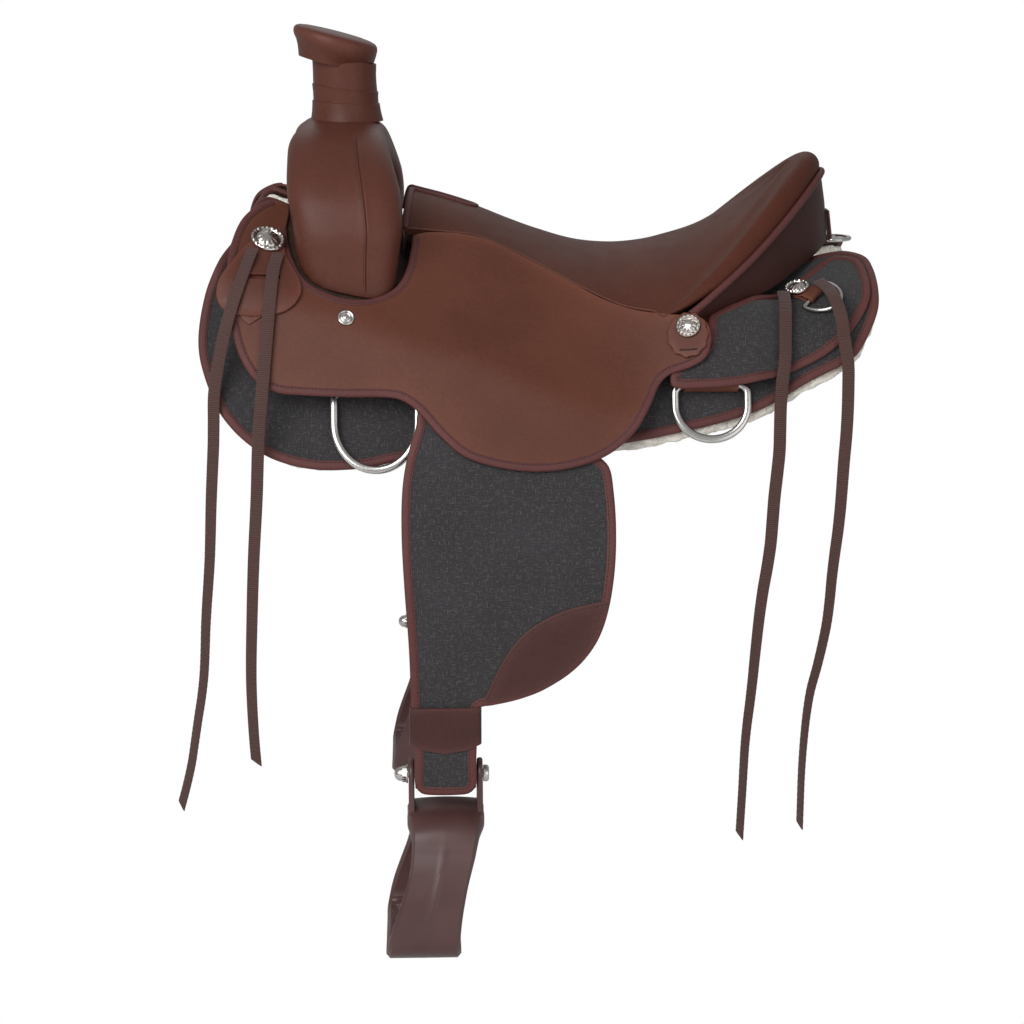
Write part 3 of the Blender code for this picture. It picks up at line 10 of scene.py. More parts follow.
import bmesh
import bpy
import numpy as np
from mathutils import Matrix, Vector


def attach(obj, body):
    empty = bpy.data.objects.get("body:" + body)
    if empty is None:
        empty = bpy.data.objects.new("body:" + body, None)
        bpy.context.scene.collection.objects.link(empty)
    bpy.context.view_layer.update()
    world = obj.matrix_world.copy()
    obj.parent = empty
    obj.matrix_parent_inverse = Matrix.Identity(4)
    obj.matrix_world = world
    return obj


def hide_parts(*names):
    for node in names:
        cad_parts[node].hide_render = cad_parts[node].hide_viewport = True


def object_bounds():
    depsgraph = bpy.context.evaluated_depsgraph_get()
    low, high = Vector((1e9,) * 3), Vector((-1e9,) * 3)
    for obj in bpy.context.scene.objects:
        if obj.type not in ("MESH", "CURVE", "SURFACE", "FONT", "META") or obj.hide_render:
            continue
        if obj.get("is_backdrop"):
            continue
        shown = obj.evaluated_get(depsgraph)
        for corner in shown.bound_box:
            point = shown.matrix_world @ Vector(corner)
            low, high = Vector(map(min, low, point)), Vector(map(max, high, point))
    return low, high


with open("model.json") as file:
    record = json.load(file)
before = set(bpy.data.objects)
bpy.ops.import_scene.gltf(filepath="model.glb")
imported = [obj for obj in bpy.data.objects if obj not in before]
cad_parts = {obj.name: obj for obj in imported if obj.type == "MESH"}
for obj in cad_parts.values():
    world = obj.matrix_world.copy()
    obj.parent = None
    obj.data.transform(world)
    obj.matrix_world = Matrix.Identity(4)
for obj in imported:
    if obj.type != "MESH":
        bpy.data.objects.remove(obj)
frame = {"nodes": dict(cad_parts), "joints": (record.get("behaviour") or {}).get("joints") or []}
cad_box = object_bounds()
MM = 0.001
SIDES = (("near", -1), ("off", 1))

# %% [markdown]
# The camera comes first, because every pattern was read from its view. It stands a little to the rear of
# square, 2.7 metres away, and looks 13 degrees down at the middle of the saddle.

# %% Camera
AIM = np.array((-0.025, 0.0, -0.185))
CAMERA_TURN, CAMERA_DOWN, CAMERA_DISTANCE = math.radians(2), math.radians(13), 2.7
camera_data = bpy.data.cameras.new("camera")
camera_data.lens, camera_data.sensor_width = 91.125, 36
camera = bpy.data.objects.new("camera", camera_data)
bpy.context.scene.collection.objects.link(camera)
forward = np.array((
    math.sin(CAMERA_TURN) * math.cos(CAMERA_DOWN),
    math.cos(CAMERA_TURN) * math.cos(CAMERA_DOWN),
    -math.sin(CAMERA_DOWN),
))
camera.location = AIM - CAMERA_DISTANCE * forward
camera.rotation_euler = (math.pi / 2 - CAMERA_DOWN, 0, -CAMERA_TURN)
bpy.context.scene.camera = camera
bpy.context.scene.view_settings.view_transform = "Standard"

# %% [markdown]
# Light is plain and soft, as in a studio: one wide lamp high on the left, and two weaker ones that open the
# shadows. Square area lamps stand for soft boxes. The world is white to the camera only. It lights the leather
# at a third of that, because a full white sheen would wash out its dark brown.


# %% Lamps and world
def lamp(name, place, aim, size, power):
    """A square area light of this size, turned from its place towards its aim."""
    data = bpy.data.lights.new(name, "AREA")
    data.size, data.energy = size, power
    made = bpy.data.objects.new(name, data)
    bpy.context.scene.collection.objects.link(made)
    made.location = place
    direction = np.array(aim, float) - np.array(place, float)
    made.rotation_euler = (
        math.atan2(math.hypot(direction[0], direction[1]), -direction[2]),
        0,
        math.atan2(direction[0], -direction[1]) + math.pi,
    )
    return made


lamp("key", (-1.5, -2.6, 1.7), (0, 0, -0.1), 2.2, 78)
lamp("fill", (1.6, -2.6, 0.3), (0, 0, -0.15), 2.0, 13)
lamp("back", (0.2, 2.4, 1.9), (0, 0, -0.1), 2.2, 7)

WORLD_LIGHT = 0.33
world = bpy.data.worlds.new("studio")
bpy.context.scene.world = world
world.use_nodes = True
nodes, links = world.node_tree.nodes, world.node_tree.links
rays = nodes.new("ShaderNodeLightPath")
strength = nodes.new("ShaderNodeMapRange")
strength.inputs["To Min"].default_value = WORLD_LIGHT
strength.inputs["To Max"].default_value = 1.0
links.new(rays.outputs["Is Camera Ray"], strength.inputs["Value"])
links.new(strength.outputs[0], nodes["Background"].inputs["Strength"])
nodes["Background"].inputs["Color"].default_value = (1, 1, 1, 1)
print(len(bpy.data.lights), "lamps, and a world of strength", WORLD_LIGHT)

# %% [markdown]
# The floor is a plain pale sheet, well below the stirrups, as paper is rolled out under an object. One square
# face is enough for it. It glows white for the camera, so it melts into the background.

# %% Floor
FLOOR_HEIGHT, FLOOR_REACH = -0.64, 9
corners = FLOOR_REACH * np.array(((-1, -1), (1, -1), (1, 1), (-1, 1)))
floor_mesh = bpy.data.meshes.new("floor")
floor_mesh.from_pydata(np.column_stack((corners, np.full(4, FLOOR_HEIGHT))).tolist(), [], [(0, 1, 2, 3)])
floor = bpy.data.objects.new("floor", floor_mesh)
bpy.context.scene.collection.objects.link(floor)
floor_finish = bpy.data.materials.new("pale_floor")
floor_finish.use_nodes = True
nodes, links = floor_finish.node_tree.nodes, floor_finish.node_tree.links
paper = nodes["Principled BSDF"]
paper.inputs["Base Color"].default_value = (0.85, 0.85, 0.85, 1)
paper.inputs["Roughness"].default_value = 0.9
glow = nodes.new("ShaderNodeEmission")
rays = nodes.new("ShaderNodeLightPath")
choice = nodes.new("ShaderNodeMixShader")
links.new(rays.outputs["Is Camera Ray"], choice.inputs[0])
links.new(paper.outputs[0], choice.inputs[1])
links.new(glow.outputs[0], choice.inputs[2])
links.new(choice.outputs[0], nodes["Material Output"].inputs["Surface"])
floor_mesh.materials.append(floor_finish)
floor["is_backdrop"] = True

# %% [markdown]
# Every curve here is a smooth cubic through a few chosen points, so a short list of places is enough for a
# long bound edge.


# %% Curves through points
def through(places, values, at):
    """Cubic through the values: each slope is the one between its two neighbours, carried on straight."""
    places, values, at = (np.asarray(a, float) for a in (places, values, at))
    slopes = np.gradient(values)
    slopes[1:-1] = (values[2:] - values[:-2]) / (places[2:] - places[:-2])
    slopes[0] = (values[1] - values[0]) / (places[1] - places[0])
    slopes[-1] = (values[-1] - values[-2]) / (places[-1] - places[-2])
    index = np.clip(np.searchsorted(places, at, side="right") - 1, 0, len(places) - 2)
    step = places[index + 1] - places[index]
    t = np.clip((at - places[index]) / step, 0, 1)
    inside = (
        (2 * t**3 - 3 * t**2 + 1) * values[index]
        + (t**3 - 2 * t**2 + t) * step * slopes[index]
        + (3 * t**2 - 2 * t**3) * values[index + 1]
        + (t**3 - t**2) * step * slopes[index + 1]
    )
    before = np.minimum(at - places[0], 0) * slopes[0]
    return inside + before + np.maximum(at - places[-1], 0) * slopes[-1]


def run(points):
    """How far along a line of points each of them lies."""
    steps = np.linalg.norm(np.diff(np.asarray(points, float), axis=0), axis=1)
    return np.concatenate(([0], np.cumsum(steps)))


def curve(points, count):
    """Evenly spaced places on the smooth curve through the points."""
    points = np.asarray(points, float)
    along = run(points)
    fine = np.linspace(0, along[-1], 40 * len(points))
    line = np.stack([through(along, column, fine) for column in points.T], axis=1)
    even = run(line)
    at = np.linspace(0, even[-1], count)
    return np.stack([np.interp(at, even, column) for column in line.T], axis=1)


def ease(low, high, value):
    """0 below low, 1 above high, and the smooth step 3t^2 - 2t^3 between them."""
    t = np.clip((value - low) / (high - low), 0, 1)
    return t * t * (3 - 2 * t)


def unit(vectors):
    """Each vector over its own length."""
    return vectors / np.maximum(np.linalg.norm(vectors, axis=-1, keepdims=True), 1e-12)


# %% [markdown]
# The mule's barrel carries everything. A cross-section is a straight slope away from the spine, a round bend
# and a flat flank. Pattern coordinates are x along the mule and the drop down its side, so a cut piece keeps
# its size when it is laid on.

# %% The barrel, the seat side and the hanging fender
FLANK = math.radians(68)
FLANK_HALF_WIDTH = 176.7 * MM
BEND = 70 * MM
BARREL = (np.array((
    (-340, 45, 178, 38), (-250, 45, 140, 35), (-120, 45, 86, 26), (0, 45, 50, 23),
    (140, 45, 56, 20), (280, 45, 84, 20), (340, 45, 100, 19),
), float), 0.0)
SEAT_SIDE = (np.array((
    (-300, 48, 184, 37), (-200, 70, 136, 34), (-120, 88, 120, 40), (-60, 86, 112, 40),
    (0, 104, 86, 42), (75, 148, 53, 50), (150, 180, 47, 60), (200, 188, 39, 64),
), float), 31.2 * MM)


def section(layer, x):
    """The slope's start beside the spine, its angle, and the lengths of slope and bend at each x."""
    table, outward = layer
    y, z = (through(MM * table[:, 0], MM * table[:, k], x) for k in (1, 2))
    angle = np.radians(through(MM * table[:, 0], table[:, 3], x))
    reach = FLANK_HALF_WIDTH + outward / math.sin(FLANK) - z / math.tan(FLANK) - y
    length = reach / (np.cos(angle) - np.sin(angle) / math.tan(FLANK))
    half = (FLANK - angle) / 2
    cut = np.minimum(BEND * np.tan(half), 0.95 * length)
    radius = cut / np.tan(half)
    straight = length - cut
    bend = 2 * half * radius
    end_z = z - straight * np.sin(angle) - radius * (np.cos(angle) - math.cos(FLANK))
    return y, z, angle, radius, straight, bend, -end_z / math.sin(FLANK) - straight - bend


def drape(layer, x, drop, height, side=1):
    """Lays pattern places on the layer: along the slope, then round the bend, then down the flank."""
    x, drop = np.broadcast_arrays(np.asarray(x, float), np.asarray(drop, float))
    y, z, angle, radius, straight, bend, top = section(layer, x)
    along = drop - top
    slope = angle + np.clip((along - straight) / radius, 0, FLANK - angle)
    first, rest = np.minimum(along, straight), np.maximum(along - straight - bend, 0)
    y = y + first * np.cos(angle) + radius * (np.sin(slope) - np.sin(angle))
    y = y + rest * math.cos(FLANK) + height * np.sin(slope)
    z = z - first * np.sin(angle) - radius * (np.cos(angle) - np.cos(slope))
    z = z - rest * math.sin(FLANK) + height * np.cos(slope)
    return np.stack([x, side * y, z], axis=-1)


HANG_START, HANG_BEND = 125 * MM, 500 * MM


def hang(x, drop, height, side=1):
    """The flank's plane, then a bend of half a metre radius until the piece hangs plumb."""
    x, drop = np.broadcast_arrays(np.asarray(x, float), np.asarray(drop, float))
    left = math.pi / 2 - FLANK
    angle = FLANK + np.clip((drop - HANG_START) / HANG_BEND, 0, left)
    first, rest = np.minimum(drop, HANG_START), np.maximum(drop - HANG_START - HANG_BEND * left, 0)
    y = FLANK_HALF_WIDTH + first * math.cos(FLANK)
    y = y + HANG_BEND * (np.sin(angle) - math.sin(FLANK)) + height * np.sin(angle)
    z = -first * math.sin(FLANK) - rest - HANG_BEND * (math.cos(FLANK) - np.cos(angle))
    return np.stack([x, side * y, z + height * np.cos(angle)], axis=-1)


# Heights of the layers above the fleece, as the frame has them.
SKIRT_TOP, BAR_TOP, STRAP_HEIGHT = 4.2 * MM, 21.3 * MM, 23.9 * MM
UNDER_PLY, INNER_PLY = 6.6 * MM, 20.3 * MM
FENDER_LOW, FENDER_THICKNESS, JOCKEY = 26.1 * MM, 3 * MM, 3 * MM
RING_HEIGHT, RING_WIRE, RING_HOOK = 11.6 * MM, 3.8 * MM, 5.5 * MM


# %% [markdown]
# All pieces become meshes in the same way: an array of places, an array of corner numbers, and the pattern
# coordinates as a UV map, so that a weave follows the cloth. The rim of a piece is stored too, as wear.


# %% Arrays into meshes
def quads(rows, columns, round_rows=False, round_columns=False):
    """Corner numbers of the squares between neighbouring rows and columns of a grid."""
    i = np.arange(rows if round_rows else rows - 1)[:, None]
    j = np.arange(columns if round_columns else columns - 1)[None, :]
    i, j = np.broadcast_arrays(i, j)
    after_i, after_j = (i + 1) % rows, (j + 1) % columns
    corners = (i * columns + j, i * columns + after_j, after_i * columns + after_j, after_i * columns + j)
    return np.stack(corners, axis=-1).reshape(-1, 4)


def make(name, places, faces, finish, body, stands_for=(), uv=None, sharp=42, wear=None):
    """A mesh of places and faces that rides on a body, with its faces turned outwards."""
    mesh = bpy.data.meshes.new(name)
    places = np.asarray(places, float).reshape(-1, 3)
    mesh.from_pydata(places.tolist(), [], [tuple(dict.fromkeys(face)) for face in np.asarray(faces).tolist()])
    if uv is not None:
        corner = np.zeros(len(mesh.loops), np.int32)
        mesh.loops.foreach_get("vertex_index", corner)
        layer = mesh.uv_layers.new(name="pattern")
        layer.data.foreach_set("uv", np.asarray(uv, float).reshape(-1, 2)[corner].ravel())
    rim = mesh.attributes.new("wear", "FLOAT", "POINT")
    rim.data.foreach_set("value", np.zeros(len(places)) if wear is None else np.asarray(wear, float).ravel())
    shape = bmesh.new()
    shape.from_mesh(mesh)
    bmesh.ops.remove_doubles(shape, verts=shape.verts[:], dist=2e-6)
    bmesh.ops.recalc_face_normals(shape, faces=shape.faces[:])
    shape.to_mesh(mesh)
    shape.free()
    mesh.shade_smooth()
    mesh.set_sharp_from_angle(angle=math.radians(sharp))
    mesh.materials.append(finish)
    made = bpy.data.objects.new(name, mesh)
    bpy.context.scene.collection.objects.link(made)
    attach(made, body)
    if stands_for:
        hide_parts(*stands_for)
    print(name, "has", len(mesh.polygons), "faces")
    return made


def tube(line, first, second, section_points):
    """Places of a section carried along a line: line + a * first + b * second for each (a, b)."""
    section_points = np.asarray(section_points, float)
    across = section_points[:, 0][None, :, None] * first[:, None, :]
    return line[:, None, :] + across + section_points[:, 1][None, :, None] * second[:, None, :]


def tube_faces(rows, columns, closed):
    """Squares of a tube, and a fan at each end when it isn't a ring."""
    faces = quads(rows, columns, closed, True)
    if closed:
        return faces
    last = (rows - 1) * columns
    start = [(0, j, j + 1, j + 1) for j in range(1, columns - 1)]
    end = [(last, last + j + 1, last + j, last + j) for j in range(1, columns - 1)]
    return np.concatenate((faces, start, end))


def oval(half_width, half_height, count=16, power=1.0):
    """Places round an oval: a power under 1 makes it squarer."""
    turn = np.arange(count) * 2 * np.pi / count
    c, s = np.cos(turn), np.sin(turn)
    return np.stack((half_width * np.sign(c) * abs(c) ** power,
                     half_height * np.sign(s) * abs(s) ** power), axis=1)


# %% [markdown]
# A finish is a small tree of nodes. These helpers make a node, a ramp of colours, a mixture and a stack of
# bumps, so that each finish below reads as a recipe. Noise is placed by the saddle's own metres, and a weave by
# the flat pattern of its piece, because cloth is woven before it is bent.


# %% Helpers for the finishes
def node(tree, kind, **settings):
    """A node with these input values, by socket name."""
    made = tree.nodes.new(kind)
    for key, value in settings.items():
        made.inputs[key.replace("_", " ")].default_value = value
    return made


def new_finish(name, roughness, metallic=0.0):
    """An empty material and its main shader."""
    made = bpy.data.materials.new(name)
    made.use_nodes = True
    shader = made.node_tree.nodes["Principled BSDF"]
    shader.inputs["Roughness"].default_value = roughness
    shader.inputs["Metallic"].default_value = metallic
    return made, made.node_tree, shader


def ramp(tree, source, stops):
    """Colours by value: stops of (value, colour)."""
    made = tree.nodes.new("ShaderNodeValToRGB")
    while len(made.color_ramp.elements) < len(stops):
        made.color_ramp.elements.new(0.5)
    for element, (value, colour) in zip(made.color_ramp.elements, stops):
        element.position = value
        element.color = (*colour, 1)
    tree.links.new(source, made.inputs["Fac"])
    return made.outputs["Color"]


def mixed(tree, share, first, second, blend="MIX"):
    """A colour between two; the share is a socket or a number."""
    made = tree.nodes.new("ShaderNodeMix")
    made.data_type, made.blend_type = "RGBA", blend
    for key, value in (("Factor", share), ("A", first), ("B", second)):
        places = [socket for socket in made.inputs if socket.name == key and socket.enabled]
        if isinstance(value, bpy.types.NodeSocket):
            tree.links.new(value, places[0])
        else:
            places[0].default_value = (*value, 1) if isinstance(value, tuple) else value
    return next(socket for socket in made.outputs if socket.enabled)


def bump(tree, shader, layers):
    """Bumps on bumps: each layer is (height socket, distance in metres, strength)."""
    before = None
    for height, distance, strong in layers:
        made = node(tree, "ShaderNodeBump", Strength=strong, Distance=distance)
        tree.links.new(height, made.inputs["Height"])
        if before is not None:
            tree.links.new(before, made.inputs["Normal"])
        before = made.outputs["Normal"]
    tree.links.new(before, shader.inputs["Normal"])


def spot(tree):
    """Object coordinates, which are the saddle's own metres."""
    return tree.nodes.new("ShaderNodeTexCoord").outputs["Object"]


def pattern(tree, scale=(1, 1, 1)):
    """The piece's flat pattern coordinates, stretched by a scale."""
    source = tree.nodes.new("ShaderNodeUVMap")
    source.uv_map = "pattern"
    mapping = tree.nodes.new("ShaderNodeMapping")
    mapping.inputs["Scale"].default_value = scale
    tree.links.new(source.outputs["UV"], mapping.inputs["Vector"])
    return mapping.outputs["Vector"]


# %% [markdown]
# Saddle leather is tanned hide. It has pores and fine creases, slow changes of colour where the dye took more
# or less, and a paler, drier rim where hands rub it. A photograph of a hide could be laid on, but cells for pores
# and noise for creases have no seams and keep their size on every piece.


# %% Leather
def leather(name, dark, light, roughness, pores=1500, dry=0.35, shine=0.22):
    """Grained hide: cells for pores, noise for creases and colour, and a paler worn rim."""
    made, tree, shader = new_finish(name, roughness)
    shader.inputs["Specular IOR Level"].default_value = shine
    place = spot(tree)
    cells = node(tree, "ShaderNodeTexVoronoi", Scale=pores)
    creases = node(tree, "ShaderNodeTexNoise", Scale=260, Detail=6, Roughness=0.62)
    slow = node(tree, "ShaderNodeTexNoise", Scale=9, Detail=4, Roughness=0.55)
    wide = node(tree, "ShaderNodeTexNoise", Scale=45, Detail=3)
    for texture in (cells, creases, slow, wide):
        tree.links.new(place, texture.inputs["Vector"])
    colour = ramp(tree, slow.outputs["Fac"], ((0.3, dark), (0.7, light)))
    fine = ramp(tree, creases.outputs["Fac"], ((0.35, (0.82, 0.82, 0.82)), (0.62, (1.1, 1.1, 1.1))))
    colour = mixed(tree, 0.4, colour, fine, "MULTIPLY")
    wear = tree.nodes.new("ShaderNodeAttribute")
    wear.attribute_name = "wear"
    share = tree.nodes.new("ShaderNodeMath")
    share.operation = "MULTIPLY"
    share.inputs[1].default_value = dry
    tree.links.new(wear.outputs["Fac"], share.inputs[0])
    colour = mixed(tree, share.outputs[0], colour, tuple(min(1.0, 1.9 * c + 0.01) for c in light))
    tree.links.new(colour, shader.inputs["Base Color"])
    gloss = ((0.25, (roughness - 0.02,) * 3), (0.75, (roughness + 0.05,) * 3))
    sheen = ramp(tree, wide.outputs["Fac"], gloss)
    tree.links.new(sheen, shader.inputs["Roughness"])
    bump(tree, shader, ((cells.outputs["Distance"], 0.00025, 0.35), (creases.outputs["Fac"], 0.0004, 0.3)))
    return made


# %% [markdown]
# Skirts and fenders are covered in a heavy plain-woven cloth, charcoal with paler flecks of fibre. Its yarns are
# about a millimetre wide. Two crossed waves give the weave at that pitch, which geometry would be too heavy for.


# %% Woven cloth
def woven(name, dark, light, fleck, pitch=0.0011):
    """Plain weave: yarns as two crossed waves over the pattern, and long flecks of paler fibre."""
    made, tree, shader = new_finish(name, 0.88)
    waves = []
    for direction in ("X", "Y"):
        wave = node(tree, "ShaderNodeTexWave", Scale=0.314 / pitch, Distortion=1.2)
        wave.bands_direction = direction
        wave.inputs["Detail"].default_value = 2
        wave.inputs["Detail Scale"].default_value = 3
        tree.links.new(pattern(tree), wave.inputs["Vector"])
        waves.append(wave.outputs["Fac"])
    weave = tree.nodes.new("ShaderNodeMath")
    weave.operation = "MULTIPLY"
    tree.links.new(waves[0], weave.inputs[0])
    tree.links.new(waves[1], weave.inputs[1])
    flecks = []
    for scale in ((900, 160, 1), (160, 900, 1)):
        noise = node(tree, "ShaderNodeTexNoise", Scale=1, Detail=3, Roughness=0.7)
        tree.links.new(pattern(tree, scale), noise.inputs["Vector"])
        flecks.append(noise.outputs["Fac"])
    highest = tree.nodes.new("ShaderNodeMath")
    highest.operation = "MAXIMUM"
    tree.links.new(flecks[0], highest.inputs[0])
    tree.links.new(flecks[1], highest.inputs[1])
    slow = node(tree, "ShaderNodeTexNoise", Scale=14, Detail=3)
    tree.links.new(spot(tree), slow.inputs["Vector"])
    colour = ramp(tree, slow.outputs["Fac"], ((0.3, dark), (0.7, light)))
    where = ramp(tree, highest.outputs[0], ((0.55, (0, 0, 0)), (0.74, (1, 1, 1))))
    colour = mixed(tree, where, colour, fleck)
    shade = ramp(tree, weave.outputs[0], ((0.0, (0.62, 0.62, 0.62)), (0.7, (1.1, 1.1, 1.1))))
    colour = mixed(tree, 0.8, colour, shade, "MULTIPLY")
    tree.links.new(colour, shader.inputs["Base Color"])
    shader.inputs["Sheen Weight"].default_value = 0.12
    bump(tree, shader, ((weave.outputs[0], 0.0004, 0.5), (highest.outputs[0], 0.0003, 0.3)))
    return made


# %% [markdown]
# The tie strings are nylon webbing. Its ribs are made as geometry further on, and this finish adds the shade
# between them and the fine yarns that each rib is spun from.


# %% Ribbed webbing
def ribbed(name, dark, light):
    """Webbing: ribs across its length, each made of fine yarns."""
    made, tree, shader = new_finish(name, 0.7)
    ribs = node(tree, "ShaderNodeTexWave", Scale=150, Distortion=0.3)
    ribs.bands_direction = "X"
    tree.links.new(pattern(tree), ribs.inputs["Vector"])
    yarns = node(tree, "ShaderNodeTexNoise", Scale=1, Detail=2)
    tree.links.new(pattern(tree, (700, 2600, 1)), yarns.inputs["Vector"])
    colour = ramp(tree, ribs.outputs["Fac"], ((0.1, dark), (0.7, light)))
    fine = ramp(tree, yarns.outputs["Fac"], ((0.3, (0.7, 0.7, 0.7)), (0.7, (1.2, 1.2, 1.2))))
    tree.links.new(mixed(tree, 0.8, colour, fine, "MULTIPLY"), shader.inputs["Base Color"])
    shader.inputs["Sheen Weight"].default_value = 0.2
    bump(tree, shader, ((ribs.outputs["Fac"], 0.0005, 0.5), (yarns.outputs["Fac"], 0.0003, 0.4)))
    return made


# %% [markdown]
# Fleece is sheared wool on a backing. Thousands of hairs would be slow to draw and can't be exported, so curls
# are warped cells, cream on their tips and deeper between them, over a face that has real tufts. The deeper
# colour between the curls is painted shade.


# %% Fleece
def wool():
    """Fleece: curls as warped cells, cream on the tips and deeper between them, where the colour is painted shade.
    """
    made, tree, shader = new_finish("curled_fleece", 0.95)
    place = spot(tree)
    warp = node(tree, "ShaderNodeTexNoise", Scale=70, Detail=3)
    tree.links.new(place, warp.inputs["Vector"])
    curls = node(tree, "ShaderNodeTexVoronoi", Scale=150)
    warped = tree.nodes.new("ShaderNodeVectorMath")
    warped.operation = "MULTIPLY_ADD"
    warped.inputs[1].default_value = (0.02, 0.02, 0.02)
    tree.links.new(warp.outputs["Color"], warped.inputs[0])
    tree.links.new(place, warped.inputs[2])
    tree.links.new(warped.outputs[0], curls.inputs["Vector"])
    fibres = node(tree, "ShaderNodeTexNoise", Scale=900, Detail=4)
    tree.links.new(warped.outputs[0], fibres.inputs["Vector"])
    # Cream at a curl's middle, deeper towards its edge: painted shade between the curls.
    colour = ramp(tree, curls.outputs["Distance"], ((0.0, (0.97, 0.95, 0.89)), (0.75, (0.74, 0.69, 0.6))))
    fine = ramp(tree, fibres.outputs["Fac"], ((0.3, (0.86, 0.86, 0.86)), (0.7, (1.08, 1.08, 1.08))))
    tree.links.new(mixed(tree, 0.7, colour, fine, "MULTIPLY"), shader.inputs["Base Color"])
    shader.inputs["Sheen Weight"].default_value = 0.4
    bump(tree, shader, ((curls.outputs["Distance"], -0.003, 0.6), (fibres.outputs["Fac"], 0.0008, 0.6)))
    return made


# %% [markdown]
# Rings and bolts are stainless steel, and the conchos are silver plate. Both are nearly mirrors, so what shows
# is their roughness: fine scratches, and dirt that stays in the hollows of the engraving.


# %% Metal
def metal(name, colour, roughness, dark=None):
    """Polished metal: faint scratches in the roughness, and dirt in the hollows where it is engraved."""
    made, tree, shader = new_finish(name, roughness, 1.0)
    place = spot(tree)
    scratches = node(tree, "ShaderNodeTexNoise", Scale=420, Detail=8, Roughness=0.75)
    clouds = node(tree, "ShaderNodeTexNoise", Scale=60, Detail=3)
    for texture in (scratches, clouds):
        tree.links.new(place, texture.inputs["Vector"])
    base = ramp(tree, clouds.outputs["Fac"], ((0.3, tuple(0.86 * c for c in colour)), (0.7, colour)))
    if dark:
        wear = tree.nodes.new("ShaderNodeAttribute")
        wear.attribute_name = "wear"
        base = mixed(tree, wear.outputs["Fac"], base, dark)
    tree.links.new(base, shader.inputs["Base Color"])
    gloss = ramp(tree, scratches.outputs["Fac"], ((0.3, (roughness,) * 3), (0.75, (roughness + 0.08,) * 3)))
    tree.links.new(gloss, shader.inputs["Roughness"])
    bump(tree, shader, ((clouds.outputs["Fac"], 0.0002, 0.12),))
    return made


# %% [markdown]
# The stirrups are moulded plastic with a satin skin. A mould leaves a fine spark texture and slow flow marks,
# which two sizes of noise stand for.


# %% Moulded plastic
def moulded(name, dark, light):
    """Satin moulded plastic with a fine spark texture and slow flow marks."""
    made, tree, shader = new_finish(name, 0.36)
    place = spot(tree)
    spark = node(tree, "ShaderNodeTexNoise", Scale=1400, Detail=3)
    flow = node(tree, "ShaderNodeTexNoise", Scale=22, Detail=4)
    for texture in (spark, flow):
        tree.links.new(place, texture.inputs["Vector"])
    tree.links.new(ramp(tree, flow.outputs["Fac"], ((0.3, dark), (0.7, light))), shader.inputs["Base Color"])
    gloss = ramp(tree, flow.outputs["Fac"], ((0.3, (0.3,) * 3), (0.7, (0.44,) * 3)))
    tree.links.new(gloss, shader.inputs["Roughness"])
    bump(tree, shader, ((spark.outputs["Fac"], 0.00015, 0.25),))
    return made


# %% [markdown]
# The tree is timber. Only slivers of it show under the fork, so a dark stained grain is enough: noise stretched
# along the mule, as the boards run.


# %% Timber
def timber():
    """Wood of the tree: rings stretched along the mule, and fine pores."""
    made, tree, shader = new_finish("tree_timber", 0.66)
    mapping = tree.nodes.new("ShaderNodeMapping")
    mapping.inputs["Scale"].default_value = (6, 60, 60)
    tree.links.new(spot(tree), mapping.inputs["Vector"])
    grain = node(tree, "ShaderNodeTexNoise", Scale=1.4, Detail=6, Distortion=1.2)
    tree.links.new(mapping.outputs["Vector"], grain.inputs["Vector"])
    colour = ramp(tree, grain.outputs["Fac"], ((0.3, (0.03, 0.014, 0.009)), (0.7, (0.06, 0.029, 0.018))))
    tree.links.new(colour, shader.inputs["Base Color"])
    bump(tree, shader, ((grain.outputs["Fac"], 0.0006, 0.4),))
    return made


# %% [markdown]
# These are the saddle's finishes, by name. Each hide is the same recipe with its own pair of browns: the flaps,
# the stretched covers, the darker seat and straps, a darker copy of the covers that paints shade on the cantle's
# back and the wall under the seat, the reddish binding, and the flesh side.

# %% The saddle's finishes
HIDE = leather("saddle_leather", (0.098, 0.031, 0.0185), (0.128, 0.042, 0.0255), 0.42)
SMOOTH_HIDE = leather("cover_leather", (0.088, 0.028, 0.0185), (0.113, 0.037, 0.025), 0.36, 1900)
SEAT_HIDE = leather("seat_leather", (0.076, 0.022, 0.0135), (0.1, 0.0305, 0.019), 0.46, 1500, 0.3, 0.12)
STRAP_HIDE = leather("strap_leather", (0.052, 0.0195, 0.0175), (0.07, 0.027, 0.0235), 0.42, 1900)
# A darker copy of the cover leather, for the cantle's back and the wall under the seat: painted shade.
PAINTED_SHADE_HIDE = leather("painted_shade_leather", (0.035, 0.0115, 0.0095), (0.048, 0.016, 0.0125), 0.42, 1900)
BINDING = leather("binding_leather", (0.095, 0.032, 0.03), (0.125, 0.043, 0.04), 0.5, 2600, 0.2)
ROUGH_HIDE = leather("flesh_side_leather", (0.06, 0.026, 0.017), (0.1, 0.045, 0.03), 0.75, 900)
THREAD = woven("waxed_thread", (0.028, 0.01, 0.009), (0.04, 0.015, 0.013), (0.07, 0.03, 0.026), 0.0004)
CLOTH = woven("charcoal_cloth", (0.026, 0.0235, 0.0255), (0.035, 0.0315, 0.0345), (0.125, 0.118, 0.122))
STRING = ribbed("string_webbing", (0.036, 0.0115, 0.009), (0.082, 0.029, 0.022))
FLEECE = wool()
STAINLESS = metal("stainless_steel", (0.66, 0.64, 0.62), 0.2)
SILVER = metal("engraved_silver", (0.72, 0.67, 0.63), 0.22, (0.05, 0.04, 0.036))
PLASTIC = moulded("stirrup_plastic", (0.07, 0.031, 0.029), (0.092, 0.042, 0.039))
TIMBER = timber()
print(len(bpy.data.materials), "finishes")

# %% [markdown]
# The tie strings are flat nylon webbing, 12 mm wide. Each is a ribbon carried along its route: it comes out
# from under a silver concho, lies on the leather and then hangs plumb, turning a little as it falls. A plain
# tube would do for its path, but its ribs are made too, one every 2.2 mm, because they show on its edges.

